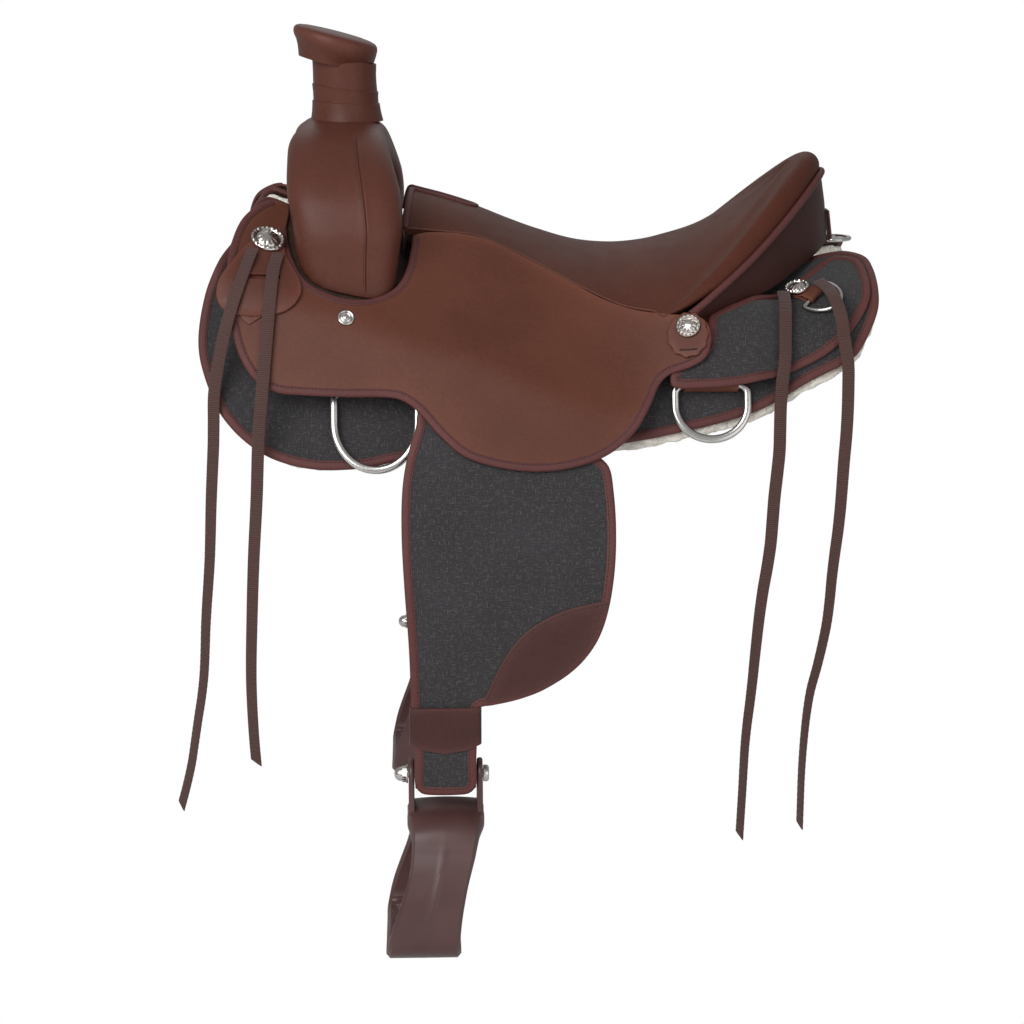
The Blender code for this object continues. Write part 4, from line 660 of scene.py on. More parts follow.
# %% Tie strings
STRING_WIDTH, STRING_THICKNESS, RIB = 12 * MM, 1.7 * MM, 2.2 * MM
STRING_ROUTES = {
    "front_string_a": (
        SEAT_SIDE,
        ((-278, -124, 10.8), (-284, -100, 10.8), (-292, -76, 10.8), (-300, -50, 10.4)),
        ((-309, 12), (-315, -25), (-316, -60), (-320, -124), (-323, -183), (-328, -242),
         (-332, -303), (-340, -353), (-347, -394), (-357, -432)),
        (10, 48),
    ),
    "front_string_b": (
        SEAT_SIDE,
        ((-254, -121, 10.4), (-257, -104, 10.8), (-259, -85, 11.2), (-261, -62, 11), (-263, -40, 9),
         (-266, -1, 8.5), (-268, 24, 8.5)),
        ((-272, -60), (-275, -118), (-279, -176), (-282, -236), (-284, -295), (-283, -346), (-281, -380)),
        (0, 30),
    ),
    "rear_string_a": (
        BARREL,
        ((235.3, -76, 19), (235, -58, 20), (232, -32, 21), (229, 1, 22), (227, 12, 22)),
        ((225, -40), (225, -79), (221, -128), (218, -177), (211, -227), (207, -268), (203, -318),
         (198, -370), (196, -421), (194, -470)),
        (0, 58),
    ),
    "rear_string_b": (
        BARREL,
        ((268.6, -82, 22.4), (273.4, -68, 24.4), (278, -50, 31), (283, -33, 30.6), (287, -18, 19),
         (291, 1, 11)),
        ((292, -52), (290, -92), (287, -151), (282, -201), (278, -252), (271, -292), (262, -333),
         (257, -395), (256, -465)),
        (15, 66),
    ),
}


def make_string(name, layer, over, free, twist):
    """A ribbon whose section is an oval 12 mm wide; its turn about the route eases from twist to twist."""
    over = MM * np.array(over, float)
    laid = drape(layer, over[:, 0], over[:, 1], over[:, 2], -1)
    hung = np.array([(MM * x, laid[-1][1], MM * z) for x, z in free])
    route = curve(np.concatenate((laid, hung)), 26)
    line = curve(route, 360)
    along = unit(np.gradient(line, axis=0))
    lifted = drape(layer, over[:, 0], over[:, 1], over[:, 2] + MM, -1) - laid
    places, length = run(np.concatenate((laid, hung))), run(line)
    outward = np.stack([
        np.interp(length, places, np.concatenate((lifted[:, k], np.full(len(hung), (0, -1, 0)[k] * MM))))
        for k in range(3)
    ], axis=1)
    across = unit(np.cross(outward, along))
    outward = unit(np.cross(along, across))
    share = ease(0.1 * length[-1], length[-1], length)
    turn = np.radians(twist[0] + (twist[1] - twist[0]) * share)[:, None]
    across, outward = (
        across * np.cos(turn) + outward * np.sin(turn),
        outward * np.cos(turn) - across * np.sin(turn),
    )
    sink = 1.4 * MM * (1 - ease(0.03, 0.3, length / length[-1]))
    ribs = 1 + 0.22 * np.sin(2 * np.pi * length / RIB)
    shape = oval(STRING_WIDTH / 2, STRING_THICKNESS / 2, 14, 0.55)
    middle = line - sink[:, None] * outward
    grid = middle[:, None] + shape[:, 0][None, :, None] * across[:, None]
    grid = grid + (shape[:, 1][None, :] * ribs[:, None])[:, :, None] * outward[:, None]
    slant = 0.55 * shape[:, 0][None, :, None] * along[-1]
    grid[-3:] += slant * np.array((0.3, 0.65, 1.0))[:, None, None]
    uv = np.stack(np.broadcast_arrays(length[:, None], shape[:, 0][None, :]), axis=-1)
    made = make(name + "_webbing", grid, tube_faces(len(line), len(shape), False), STRING, "saddle",
                (name,), uv)
    print(name, "is", round(float(length[-1]), 3), "m long")


for string_name, (layer, over, free, twist) in STRING_ROUTES.items():
    make_string(string_name, layer, over, free, twist)

# %% [markdown]
# A flat pattern becomes a piece in three steps. Its outline is smoothed, the inside is cut into a net of
# small squares, and every place is laid over the mule. Solidify and Bevel could thicken it as well, but here each
# edge gets a half-round rim, as burnished leather has, and both faces keep their own height.


# %% Patterns
def loop(points, step=3.2):
    """Evenly spaced places on the closed smooth curve through the points, which are in mm."""
    points = MM * np.asarray(points, float)
    wrapped = np.concatenate((points[-3:], points, points[:4]))
    along = run(wrapped)
    fine = np.linspace(along[3], along[3 + len(points)], 60 * len(points) + 1)
    line = np.stack([through(along, column, fine) for column in wrapped.T], axis=1)
    even = run(line)
    count = int(round(even[-1] / (step * MM)))
    at = np.arange(count) * even[-1] / count
    line = np.stack([np.interp(at, even, column) for column in line.T], axis=1)
    area = np.sum(line[:, 0] * np.roll(line[:, 1], -1) - np.roll(line[:, 0], -1) * line[:, 1])
    return line if area > 0 else line[::-1]


def outward_of(ring):
    """Unit vectors across a closed ring, pointing out of it."""
    along = unit(np.roll(ring, -1, axis=0) - np.roll(ring, 1, axis=0))
    return np.stack((along[:, 1], -along[:, 0]), axis=1)


def nearest(ring, places):
    """The step of the closed ring that is nearest to each place, with its fraction, and how far it is."""
    step = np.roll(ring, -1, axis=0) - ring
    gap = places[:, None] - ring[None]
    share = np.clip((gap * step).sum(-1) / (step**2).sum(-1), 0, 1)
    far = np.linalg.norm(gap - share[..., None] * step, axis=-1)
    best, rows = far.argmin(axis=1), np.arange(len(places))
    return best + share[rows, best], far[rows, best]


class Pattern:
    """A cut piece: its smooth outline, the net inside it, and the net's rim in the outline's order."""

    def __init__(self, points, thickness, pitch=8):
        self.ring, self.half = loop(points), thickness / 2
        self.away = outward_of(self.ring)
        inset = self.ring - self.half * self.away
        shape = bmesh.new()
        shape.faces.new([shape.verts.new((x, drop, 0)) for x, drop in inset])
        for axis, normal in ((0, (1, 0, 0)), (1, (0, 1, 0))):
            low, high = inset[:, axis].min(), inset[:, axis].max()
            for at in np.arange(low + 0.4 * pitch * MM, high, pitch * MM):
                everything = shape.verts[:] + shape.edges[:] + shape.faces[:]
                bmesh.ops.bisect_plane(
                    shape, geom=everything, plane_co=(at, at, 0), plane_no=normal, dist=0.3 * MM
                )
        bmesh.ops.triangulate(shape, faces=[face for face in shape.faces if len(face.verts) > 4])
        mesh = bpy.data.meshes.new("net")
        shape.to_mesh(mesh)
        shape.free()
        places = np.empty(3 * len(mesh.vertices), np.float32)
        mesh.vertices.foreach_get("co", places)
        self.flat = places.reshape(-1, 3)[:, :2].astype(float)
        corners, start, total = (
            np.empty(count, np.int32) for count in (len(mesh.loops), len(mesh.polygons), len(mesh.polygons))
        )
        mesh.loops.foreach_get("vertex_index", corners)
        mesh.polygons.foreach_get("loop_start", start)
        mesh.polygons.foreach_get("loop_total", total)
        bpy.data.meshes.remove(mesh)
        self.faces = corners[start[:, None] + np.minimum(np.arange(4)[None], total[:, None] - 1)]
        edges = np.stack((self.faces, np.roll(self.faces, -1, axis=1)), axis=-1).reshape(-1, 2)
        edges = np.sort(edges[edges[:, 0] != edges[:, 1]], axis=1)
        single, used = np.unique(edges, axis=0, return_counts=True)
        rim = np.unique(single[used == 1])
        where = nearest(inset, self.flat[rim])[0]
        self.rim, where = rim[where.argsort()], np.sort(where)
        steps = np.arange(len(inset) + 1)
        closed = np.vstack((self.away, self.away[:1]))
        self.rim_away = unit(np.stack([np.interp(where, steps, column) for column in closed.T], axis=1))
        self.edge = nearest(self.ring, self.flat)[1]

    def part(self, first, last, inward=0.0):
        """The outline from the place nearest to first, round to the one nearest to last, moved inwards."""
        ends = nearest(self.ring, MM * np.array((first, last), float))[0].round().astype(int)
        count = (ends[1] - ends[0]) % len(self.ring)
        index = (ends[0] + np.arange(count + 1)) % len(self.ring)
        return self.ring[index] - inward * self.away[index], self.away[index]


def on_barrel(places, height, side):
    return drape(BARREL, places[..., 0], places[..., 1], height, side)


def on_seat(places, height, side):
    return drape(SEAT_SIDE, places[..., 0], places[..., 1], height, side)


def on_hang(places, height, side):
    return hang(places[..., 0], places[..., 1], height, side)


def level(height, places):
    """A height that is one number, or that is worked out from the pattern's places."""
    if callable(height):
        return height(places[..., 0], places[..., 1])
    return np.full(places.shape[:-1], float(height))


def joined(parts):
    """Several (places, faces) as one."""
    faces, start = [], 0
    for places, corners in parts:
        faces.append(np.asarray(corners) + start)
        start += len(places)
    return np.concatenate([places for places, _ in parts]), np.concatenate(faces)


RIM_TURNS = np.radians((25, 55, 90, 125, 155))


def cut_piece(name, pattern, surface, low, high, side, finish, body, stands_for=(), lump=None):
    """Lays a pattern at two heights and joins them by a half-round rim."""
    flat, rim = pattern.flat, pattern.flat[pattern.rim]
    count, around = len(flat), len(rim)
    middle = (level(high, rim) + level(low, rim)) / 2
    half = (level(high, rim) - level(low, rim)) / 2
    flats, heights = [flat, flat], [level(high, flat), level(low, flat)]
    for turn in RIM_TURNS:
        flats.append(rim + pattern.half * math.sin(turn) * pattern.rim_away)
        heights.append(middle + half * math.cos(turn))
    rows = [pattern.rim] + [2 * count + k * around + np.arange(around) for k in range(len(RIM_TURNS))]
    rows.append(pattern.rim + count)
    faces = [pattern.faces, pattern.faces[:, ::-1] + count]
    for before, after in zip(rows, rows[1:]):
        faces.append(np.stack((before, np.roll(before, -1), np.roll(after, -1), after), axis=1))
    flats, heights = np.concatenate(flats), np.concatenate(heights)
    places = surface(flats, heights, side)
    if lump is not None:
        up = unit(surface(flats, heights + MM, side) - places)
        outward = np.where(np.arange(len(flats)) < count, 1.0, -1.0)
        outward[2 * count:] = np.repeat(np.cos(RIM_TURNS), around)
        size = lump(places)
        places = places + (outward * size)[:, None] * up
        rim_move = np.repeat(np.sin(RIM_TURNS), around) * size[2 * count:]
        spread = surface(flats[2 * count:] + MM * np.tile(pattern.rim_away, (len(RIM_TURNS), 1)),
                         heights[2 * count:], side)
        out = unit(spread - surface(flats[2 * count:], heights[2 * count:], side))
        places[2 * count:] += rim_move[:, None] * out
    wear = np.concatenate((np.exp(-pattern.edge / (5 * MM)), np.exp(-pattern.edge / (5 * MM)),
                           np.ones(around * len(RIM_TURNS))))
    return make(name, places, np.concatenate(faces), finish, body, stands_for, flats, wear=wear)


# %% [markdown]
# Bindings are strips of thin leather folded over an edge and sewn through. The strip's section is carried
# along the outline: it lies on both faces and turns over the rim. Stitches are short rounded threads, set out
# by their pitch, because a drawn line would look flat when the light is low.


# %% Bindings, piping and stitches
def binding(pattern, surface, low, high, side, width, part=None, thickness=0.9 * MM):
    """Places and faces of a folded strip along the whole outline, or along a part of it."""
    if part is None:
        ring, away = pattern.ring, pattern.away
    else:
        ring, away = pattern.part(*part)
    top, bottom = level(high, ring)[:, None], level(low, ring)[:, None]
    middle, half = (top + bottom) / 2, (top - bottom) / 2
    turns = np.radians((30, 60, 90, 120, 150))[None]
    one = np.ones_like(half)
    under = 0.3 * MM
    inward = np.concatenate((
        width * one, width * one, (width - 0.8 * MM) * one, half, half - (half + thickness) * np.sin(turns),
        half, (width - 0.8 * MM) * one, width * one, width * one,
    ), axis=1)
    height = np.concatenate((
        half - 0.4 * MM, half + 0.5 * thickness, half + thickness, half + thickness,
        (half + thickness) * np.cos(turns),
        -half - under, -half - under, -half - 0.1 * MM, -half + 0.4 * MM,
    ), axis=1)
    flat = ring[:, None] - inward[..., None] * away[:, None]
    places = surface(flat.reshape(-1, 2), (middle + height).ravel(), side)
    return places, tube_faces(len(ring), inward.shape[1], part is None), flat.reshape(-1, 2)


def stitches(path, surface, height, side, pitch=3.7, length=2.7, width=0.85):
    """Places and faces of a row of short rounded threads, sewn along a path of pattern places."""
    along = run(path)
    count = max(2, int(along[-1] / (pitch * MM)))
    at = (np.arange(count) + 0.5) * along[-1] / count
    middle = np.stack([np.interp(at, along, column) for column in path.T], axis=1)
    slope = np.gradient(path, axis=0)
    direction = unit(np.stack([np.interp(at, along, column) for column in slope.T], axis=1))
    reach = 0.5 * length * MM * direction
    lift = level(height, middle)
    start, end = surface(middle - reach, lift, side), surface(middle + reach, lift, side)
    up = unit(surface(middle, lift + MM, side) - surface(middle, lift, side))
    return threads(start, end, up, width * MM)


def threads(start, end, up, width):
    """A rounded thread from each start to each end, lying on the surface below it."""
    across = unit(np.cross(up, end - start))
    share = np.array((-1, -0.75, 0, 0.75, 1))
    radius = width / 2 * np.array((0.3, 0.85, 1, 0.85, 0.3))
    turn = np.arange(6) * np.pi / 3
    middle, half = (start + end) / 2, (end - start) / 2
    places = middle[:, None, None] + share[None, :, None, None] * half[:, None, None]
    places = places + (radius[:, None] * np.cos(turn))[None, ..., None] * across[:, None, None]
    places = places + (radius[:, None] * np.sin(turn) * 0.8)[None, ..., None] * up[:, None, None]
    faces = tube_faces(5, 6, False)
    faces = faces[None] + (30 * np.arange(len(start)))[:, None, None]
    return places.reshape(-1, 3), faces.reshape(-1, 4)


def sewn(name, rows, body):
    """Several rows of stitches as one piece."""
    places, faces = joined(rows)
    return make(name, places, faces, THREAD, body, uv=places[:, (0, 2)], sharp=80)


def rope(line, radius, up, closed=False, sides=12, squash=1.0):
    """Places and faces of a round piping along a line; up is a direction across it."""
    slope = np.roll(line, -1, axis=0) - np.roll(line, 1, axis=0) if closed else np.gradient(line, axis=0)
    along = unit(slope)
    across = unit(np.cross(along, up))
    upward = unit(np.cross(across, along))
    places = tube(line, across, upward, oval(radius, radius * squash, sides))
    return places.reshape(-1, 3), tube_faces(len(line), sides, closed)


def lumps(places, size, seed=0):
    """Smooth noise from -1 to 1: random values on a net of this size, blended between its corners."""
    generator = np.random.default_rng(seed)
    table = generator.uniform(-1, 1, 4096)
    scaled = places / size
    cell = np.floor(scaled).astype(int)
    share = scaled - cell
    share = share * share * (3 - 2 * share)
    total = np.zeros(len(places))
    for corner in np.ndindex(2, 2, 2):
        key = (cell + corner) @ np.array((73856093, 19349663, 83492791))
        weight = np.prod(np.where(corner, share, 1 - share), axis=1)
        total += weight * table[key % 4096]
    return total


# %% [markdown]
# The skirts lie flat on the mule's sides. Each is a board of stiff charcoal cloth with a leather binding. Under
# it is the fleece, which peeps out below the edge. Its tufts are noise that lifts the surface, in two sizes, with
# a fixed seed, because a cloth simulation gives folds and not curls.


# %% Fleece and skirts
SKIRT_EDGE = [
    (-271, -200), (-287, -165), (-299, -130), (-314, -98), (-324, -70), (-330, -30), (-327, -1), (-312, 40),
    (-298, 60), (-281, 76), (-262, 88), (-239, 96), (-215, 100), (-191, 100), (-168, 98), (-139, 92),
    (-25, 88), (71, 77), (156, 60), (200, 47), (221, 37), (255, 17), (287, 1), (301, -9), (314, -31), (323, -53),
    (326, -75), (327, -120), (322, -148),
]


def spine(layer, places, clearance):
    """Pattern places beside the spine, at these x."""
    return [(x, section(layer, np.array(MM * x))[-1] / MM + clearance) for x in places]


SKIRT_EDGE += spine(BARREL, range(300, -251, -60), 2)
skirt = Pattern(SKIRT_EDGE, SKIRT_TOP, 10)
FLEECE_EDGE = [(x, drop + 8 * float(ease(20, 90, x))) if drop > -60 else (x, drop) for x, drop in SKIRT_EDGE]
fleece = Pattern(FLEECE_EDGE, 11 * MM, 7)
print("the skirt's outline is", round(float(run(skirt.ring)[-1]), 2), "m round")


def tufts(places):
    """Wool stands out in curls of about 9 mm, with finer ones on them."""
    return 1.5 * MM * lumps(places, 9 * MM, 1) + 0.9 * MM * lumps(places, 4.2 * MM, 2) - 0.8 * MM


for word, side in SIDES:
    piece = cut_piece(f"fleece_wool_{word}", fleece, on_barrel, -11.5 * MM, -1.8 * MM, side, FLEECE, "saddle",
                      (f"fleece_{word}",), tufts)
    cut_piece(f"skirt_cloth_{word}", skirt, on_barrel, 0.2 * MM, SKIRT_TOP, side, CLOTH, "saddle",
              (f"skirt_{word}",))
    places, faces, uv = binding(skirt, on_barrel, 0.2 * MM, SKIRT_TOP, side, 8 * MM)
    make(f"skirt_binding_{word}", places, faces, BINDING, "saddle", uv=uv)
    seam = skirt.ring - 6.2 * MM * skirt.away
    sewn(f"skirt_stitches_{word}", [stitches(seam, on_barrel, SKIRT_TOP + 1.0 * MM, side)], "saddle")


# %% [markdown]
# Behind the seat the rear jockey covers the skirt. It is raised over the rear ring's leather at its front, and
# it comes down on the skirt behind that. Its height is worked out from the place, so one flat pattern does both.


# %% Rear jockeys
def pressed(x, drop):
    """The hollow that the saddle-bag ring's lower arm presses into the cloth, as a share of its depth."""
    return np.exp(-((x - 257 * MM) ** 2 + (drop + 53 * MM) ** 2) / (13 * MM) ** 2)


def rear_jockey_low(x, drop):
    down = ease(200 * MM, 242 * MM, x)
    return 21.55 * MM + (5.1 - 21.55) * MM * down - 0.7 * MM * pressed(x, drop)


def rear_jockey_high(x, drop):
    return rear_jockey_low(x, drop) + JOCKEY - 2.2 * MM * pressed(x, drop)


rear_jockey = Pattern([
    (120, 25), (148, 27), (186, 24), (215, 17), (244, 6), (269, -7), (289, -23), (304, -40), (314, -58),
    (318, -75), (319, -106), (315, -134), (303, -146), (290, -148), (262, -119), (232, -85), (200, -60),
    (163, -40), (160, -33), (157, -16), (152, -6), (128, 2),
], JOCKEY, 7)
for word, side in SIDES:
    cut_piece(f"rear_jockey_cloth_{word}", rear_jockey, on_barrel, rear_jockey_low, rear_jockey_high, side,
              CLOTH, "saddle", (f"rear_jockey_{word}",))
    places, faces, uv = binding(rear_jockey, on_barrel, rear_jockey_low, rear_jockey_high, side, 7.5 * MM)
    make(f"rear_jockey_binding_{word}", places, faces, BINDING, "saddle", uv=uv)
    seam = rear_jockey.ring - 5.8 * MM * rear_jockey.away
    sewn(f"rear_jockey_stitches_{word}",
         [stitches(seam, on_barrel, lambda x, drop: rear_jockey_high(x, drop) + 1.0 * MM, side)], "saddle")

# %% [markdown]
# The seat jockey is the large leather side of the seat. It runs from the ear in front of the fork, round the
# fork's foot in a bound U, and down to the lobe over the fender. It is one hide on the real saddle, so it is one
# pattern here, and only its two free edges are bound.

# %% Seat jockeys
seat_jockey = Pattern([
    (-247, -199), (-262, -202), (-275, -192), (-289, -171), (-297, -143), (-301, -109), (-300, -71),
    (-297, -46), (-289, -17), (-275, 6), (-256, 18), (-232, 21), (-195, 23), (-148, 24), (-134, 28),
    (-120, 39), (-101, 61), (-78, 81), (-45, 92), (-7, 96), (30, 91), (59, 79), (83, 58), (98, 33), (107, 12),
    (117, 2), (138, -5), (152, -14), (158, -32), (156, -46),
] + spine(SEAT_SIDE, (148, 120, 90, 60, 30, 0, -30, -60, -90), 1.5) + [
    (-123, -165), (-126, -150), (-131, -120), (-141, -95), (-160, -79), (-184, -73), (-208, -79),
    (-228, -93), (-241, -122), (-248, -160),
], JOCKEY, 7)
BOUND = (((158, -32), (-262, -202)), ((-248, -165), (-123, -165)))
print("bound lengths:", [round(float(run(seat_jockey.part(*way)[0])[-1]), 2) for way in BOUND])
for word, side in SIDES:
    cut_piece(f"seat_jockey_leather_{word}", seat_jockey, on_seat, 0.0, JOCKEY, side, HIDE, "saddle",
              (f"seat_jockey_{word}",))
    strips = [binding(seat_jockey, on_seat, 0.0, JOCKEY, side, 7 * MM, way) for way in BOUND]
    places, faces = joined([(places, faces) for places, faces, _ in strips])
    make(f"seat_jockey_binding_{word}", places, faces, BINDING, "saddle",
         uv=np.concatenate([uv for _, _, uv in strips]))
    rows = [stitches(seat_jockey.part(*way, 5.4 * MM)[0], on_seat, JOCKEY + 0.95 * MM, side) for way in BOUND]
    sewn(f"seat_jockey_stitches_{word}", rows, "saddle")

# %% [markdown]
# The fender hangs from the tree bar by the stirrup leather and keeps the rider's leg off the mule. It is the
# same cloth as the skirts, with a leather binding and a leather corner sewn on at its lower rear. It leaves the
# mule's flank in a wide bend, so it is laid on a surface of its own. Its neck stays clear of the stirrup's ears.

# %% Fenders
BOLT_DROP, BOLT_HEIGHT, NECK_X = 391 * MM, 14 * MM, -98 * MM
STRAP_WIDTH, STRAP = 58 * MM, 3.2 * MM


def fender_low(x, drop):
    return FENDER_LOW + 3.1 * MM * ease(350 * MM, 378 * MM, drop)


def fender_high(x, drop):
    return fender_low(x, drop) + FENDER_THICKNESS


fender = Pattern([
    (-119, 50), (-123, 66), (-131, 93), (-136, 125), (-137, 165), (-135, 209), (-131, 267), (-129, 325),
    (-127, 356), (-126.2, 372), (-126.2, 396), (-121, 404), (-110, 406), (-86, 406), (-75, 404), (-69.8, 396),
    (-69.8, 372), (-69, 352), (-69, 330), (-66, 321),
    (-53, 318.5), (-28, 313), (-4, 304), (24, 286), (43, 264), (54, 238), (61, 201), (63, 162), (61, 125),
    (57, 104), (44, 93), (10, 82), (-40, 60), (-70, 50),
], FENDER_THICKNESS, 7)
patch = Pattern([
    (55, 226), (36, 228.5), (15, 233.5), (-4, 241.5), (-21, 252), (-34, 265), (-45, 281), (-54, 298),
    (-61, 315), (-53, 316.5), (-28, 311), (-5, 302), (22.5, 284.5), (41, 263), (52, 238),
], 1.4 * MM, 8)
for word, side in SIDES:
    body = f"fender_{word}"
    cut_piece(f"fender_cloth_{word}", fender, on_hang, fender_low, fender_high, side, CLOTH, body,
              (f"fender_{word}",))
    places, faces, uv = binding(fender, on_hang, fender_low, fender_high, side, 7.5 * MM)
    make(f"fender_binding_{word}", places, faces, BINDING, body, uv=uv)
    cut_piece(f"fender_corner_{word}", patch, on_hang, FENDER_LOW + FENDER_THICKNESS - 0.2 * MM,
              FENDER_LOW + FENDER_THICKNESS + 1.2 * MM, side, STRAP_HIDE, body)
    seam = fender.ring - 5.8 * MM * fender.away
    inner = MM * np.array([(55, 228), (15, 236.5), (-20, 254.5), (-43, 282), (-58, 313)], float)
    rows = [stitches(seam, on_hang, lambda x, drop: fender_high(x, drop) + 1.0 * MM, side)]
    rows.append(stitches(curve(inner, 60), on_hang, FENDER_LOW + FENDER_THICKNESS + 1.25 * MM, side))
    sewn(f"fender_stitches_{word}", rows, body)

# %% [markdown]
# The saddle is held together by small fittings. Conchos are pressed silver discs with a rope of berries round
# the edge and a dome in the middle. They could be spun from a profile, but the berries need a second direction:
# each is a grid of radius by angle, with the berries as a wave in its height.


# %% Discs
def frame_on(surface, x, drop, height, side):
    """The place on a layer, and two directions along it with the one that stands off it."""
    flat = MM * np.array(((x, drop), (x + 1, drop), (x, drop + 1), (x, drop)), float)
    places = surface(flat, MM * np.array((height, height, height, height + 1)), side)
    first = unit(places[1] - places[0])
    outward = unit(places[3] - places[0])
    second = np.cross(outward, first)
    return places[0], first, second, outward


def disc(frame_of, radius, heights, sides=96, berries=0, petals=0):
    """Places, faces and hollows of a round fitting.

    The heights are (share of the radius, mm) from rim to middle. Berries add a cosine wave round the rim, and
    petals a cosine star half way in.
    """
    middle, first, second, outward = frame_of
    shares = np.concatenate((np.linspace(1, 0.7, 16), np.linspace(0.68, 0.06, 20), (0.0,)))
    table = np.array(sorted(heights), float)
    rise = MM * np.interp(shares, table[:, 0], table[:, 1])
    turn = np.arange(sides) * 2 * np.pi / sides
    wave = abs(np.cos(0.5 * berries * turn)) ** 0.6
    ring = np.exp(-(((shares - 0.87) / 0.085) ** 2))
    star = np.exp(-(((shares - 0.5) / 0.16) ** 2))
    lift = np.repeat(rise[:, None], sides, axis=1)
    hollow = np.repeat(0.5 * np.exp(-(((shares - 0.7) / 0.035) ** 2))[:, None], sides, axis=1)
    if petals:
        lift += 0.3 * MM * star[:, None] * np.cos(petals * turn)
        hollow += 0.4 * star[:, None] * np.clip(-np.cos(petals * turn), 0, 1)
    if berries:
        lift += 1.3 * MM * ring[:, None] * (wave - 0.45)
        hollow += np.clip(0.9 * ring[:, None] * (0.75 - wave), 0, 1)
    foot = np.zeros((1, sides))
    lift = np.concatenate((foot, lift))
    hollow = np.concatenate((foot, hollow))
    reach = radius * MM * np.concatenate(([0.985], shares))
    across = reach[:, None, None] * (
        np.cos(turn)[None, :, None] * first + np.sin(turn)[None, :, None] * second
    )
    places = middle + across + lift[..., None] * outward
    return places.reshape(-1, 3), quads(len(reach), sides, False, True), np.clip(hollow, 0, 1).ravel()


def fitting(name, frame_of, radius, heights, finish, body, slot, stands_for, **shape):
    """A disc as a piece."""
    places, faces, hollow = disc(frame_of, radius, heights, **shape)
    return make(name, places, faces, finish, body, (stands_for,), sharp=60, wear=hollow)


def domed(height):
    """Heights of a concho: its rope rim, the groove inside it and the dome."""
    rim = ((1.0, 1.0), (0.97, 2.2), (0.87, 3.0), (0.76, 2.4), (0.7, 1.7))
    return rim + ((0.62, 0.5 * height), (0.45, 0.74 * height), (0.25, 0.92 * height), (0.0, height))


RINGED = (
    (1.0, 0.0), (0.97, 1.2), (0.86, 1.7), (0.76, 1.4), (0.7, 1.1), (0.66, 2.0), (0.5, 2.7), (0.42, 2.4),
    (0.36, 2.9), (0.0, 3.4),
)
for word, side in SIDES:
    fitting(f"front_concho_silver_{word}", frame_on(on_seat, -264, -140, 7.5, side), 17, domed(6.5), SILVER,
            "saddle", "engraved_silver", f"front_concho_{word}", berries=20, petals=12)
    fitting(f"seat_concho_silver_{word}", frame_on(on_seat, 136, -44, 7.0, side), 12, domed(5), SILVER,
            "saddle", "engraved_silver", f"seat_concho_{word}", berries=16, petals=10)
    fitting(f"ringed_screw_{word}", frame_on(on_seat, -189, -52, 3.35, side), 8, RINGED, STAINLESS,
            "saddle", "stainless_steel", f"jockey_screw_{word}")

# %% [markdown]
# The latigo keeper is a leather tab with a slot, under the front concho. A Boolean could cut the slot, but it
# leaves long thin faces. Here the mesh runs round the slot: every row goes from the outer edge to the slot
# below, and back again on top. The rosette under the seat concho has a scalloped edge and a slit. The slit isn't
# cut: it is a thin dark sheet in the thread's finish, laid on the rosette as painted shade.

# %% Latigo keepers and rosettes
turns = np.linspace(0, 2 * np.pi, 48, endpoint=False)
rosette = Pattern(np.stack((
    136 + (19 + 0.8 * np.cos(11 * turns)) * np.cos(turns),
    -36 + 1.2 * (19 + 0.8 * np.cos(11 * turns)) * np.sin(turns),
), axis=1), 2.5 * MM, 6)
# The slit: a thin dark sheet laid on the rosette, painted shade for the cut.
painted_slit_shade = Pattern([(127, -20), (136, -19.3), (145, -20), (145, -21.6), (136, -20.9), (127, -21.6)], 0.4 * MM, 6)
tip = Pattern([
    (-291, -84), (-291, -70), (-292, -59), (-287, -52), (-281, -46), (-274, -50), (-267, -55), (-266, -70),
    (-266, -84),
], 1.6 * MM, 6)
keeper_edge = [
    (-276, -142), (-262, -152), (-250, -147), (-247, -124), (-240, -106), (-233, -90), (-231, -77),
    (-237, -65), (-250, -57), (-268, -54), (-290, -55), (-304, -60), (-311, -72), (-309, -88), (-297, -108),
    (-288, -126),
]
keeper_ring = loop(keeper_edge, 2.0)
direction = keeper_ring - MM * np.array((-268, -92))
order = np.unwrap(np.arctan2(direction[:, 1], direction[:, 0]))
slot_ring = MM * np.stack((
    -268 + 16 * np.clip(1.6 * np.cos(order), -1, 1),
    -92 + 2.2 * np.sin(order),
), axis=1)
for word, side in SIDES:
    shares = np.array((0.0, 0.03, 0.3, 0.65, 0.97, 1.0, 1.0, 0.97, 0.65, 0.3, 0.03, 0.0))
    lifts = MM * np.array((5.0, 3.9, 3.9, 3.9, 3.9, 4.8, 6.0, 6.9, 6.9, 6.9, 6.9, 6.0))
    flat = keeper_ring[:, None] * (1 - shares)[:, None] + slot_ring[:, None] * shares[:, None]
    heights = np.broadcast_to(lifts, flat.shape[:2])
    places = on_seat(flat.reshape(-1, 2), heights.ravel(), side)
    wear = np.broadcast_to(np.exp(-4 * shares), flat.shape[:2])
    make(f"keeper_leather_{word}", places, tube_faces(len(flat), len(shares), True), SMOOTH_HIDE, "saddle",
         (f"latigo_keeper_{word}",), flat.reshape(-1, 2), wear=wear)
    cut_piece(f"strap_tip_{word}", tip, on_seat, 3.1 * MM, 4.6 * MM, side, SMOOTH_HIDE, "saddle")
    # Painted shade of the slit, in the dark thread finish.
    cut_piece(f"rosette_painted_slit_shade_{word}", painted_slit_shade, on_seat, 6.2 * MM, 6.55 * MM, side, THREAD, "saddle")
    cut_piece(f"rosette_leather_{word}", rosette, on_seat, 3.9 * MM, 6.4 * MM, side, SMOOTH_HIDE, "saddle",
              (f"seat_rosette_{word}",))

# %% [markdown]
# Rings and straps come next. The stainless dees hang in folded straps, which lap on the bars. A dee is bent
# from bar, so it is a section carried round a closed line. A strap is a rounded flat section carried along its
# path of drops and heights, which keeps its thickness in every fold.


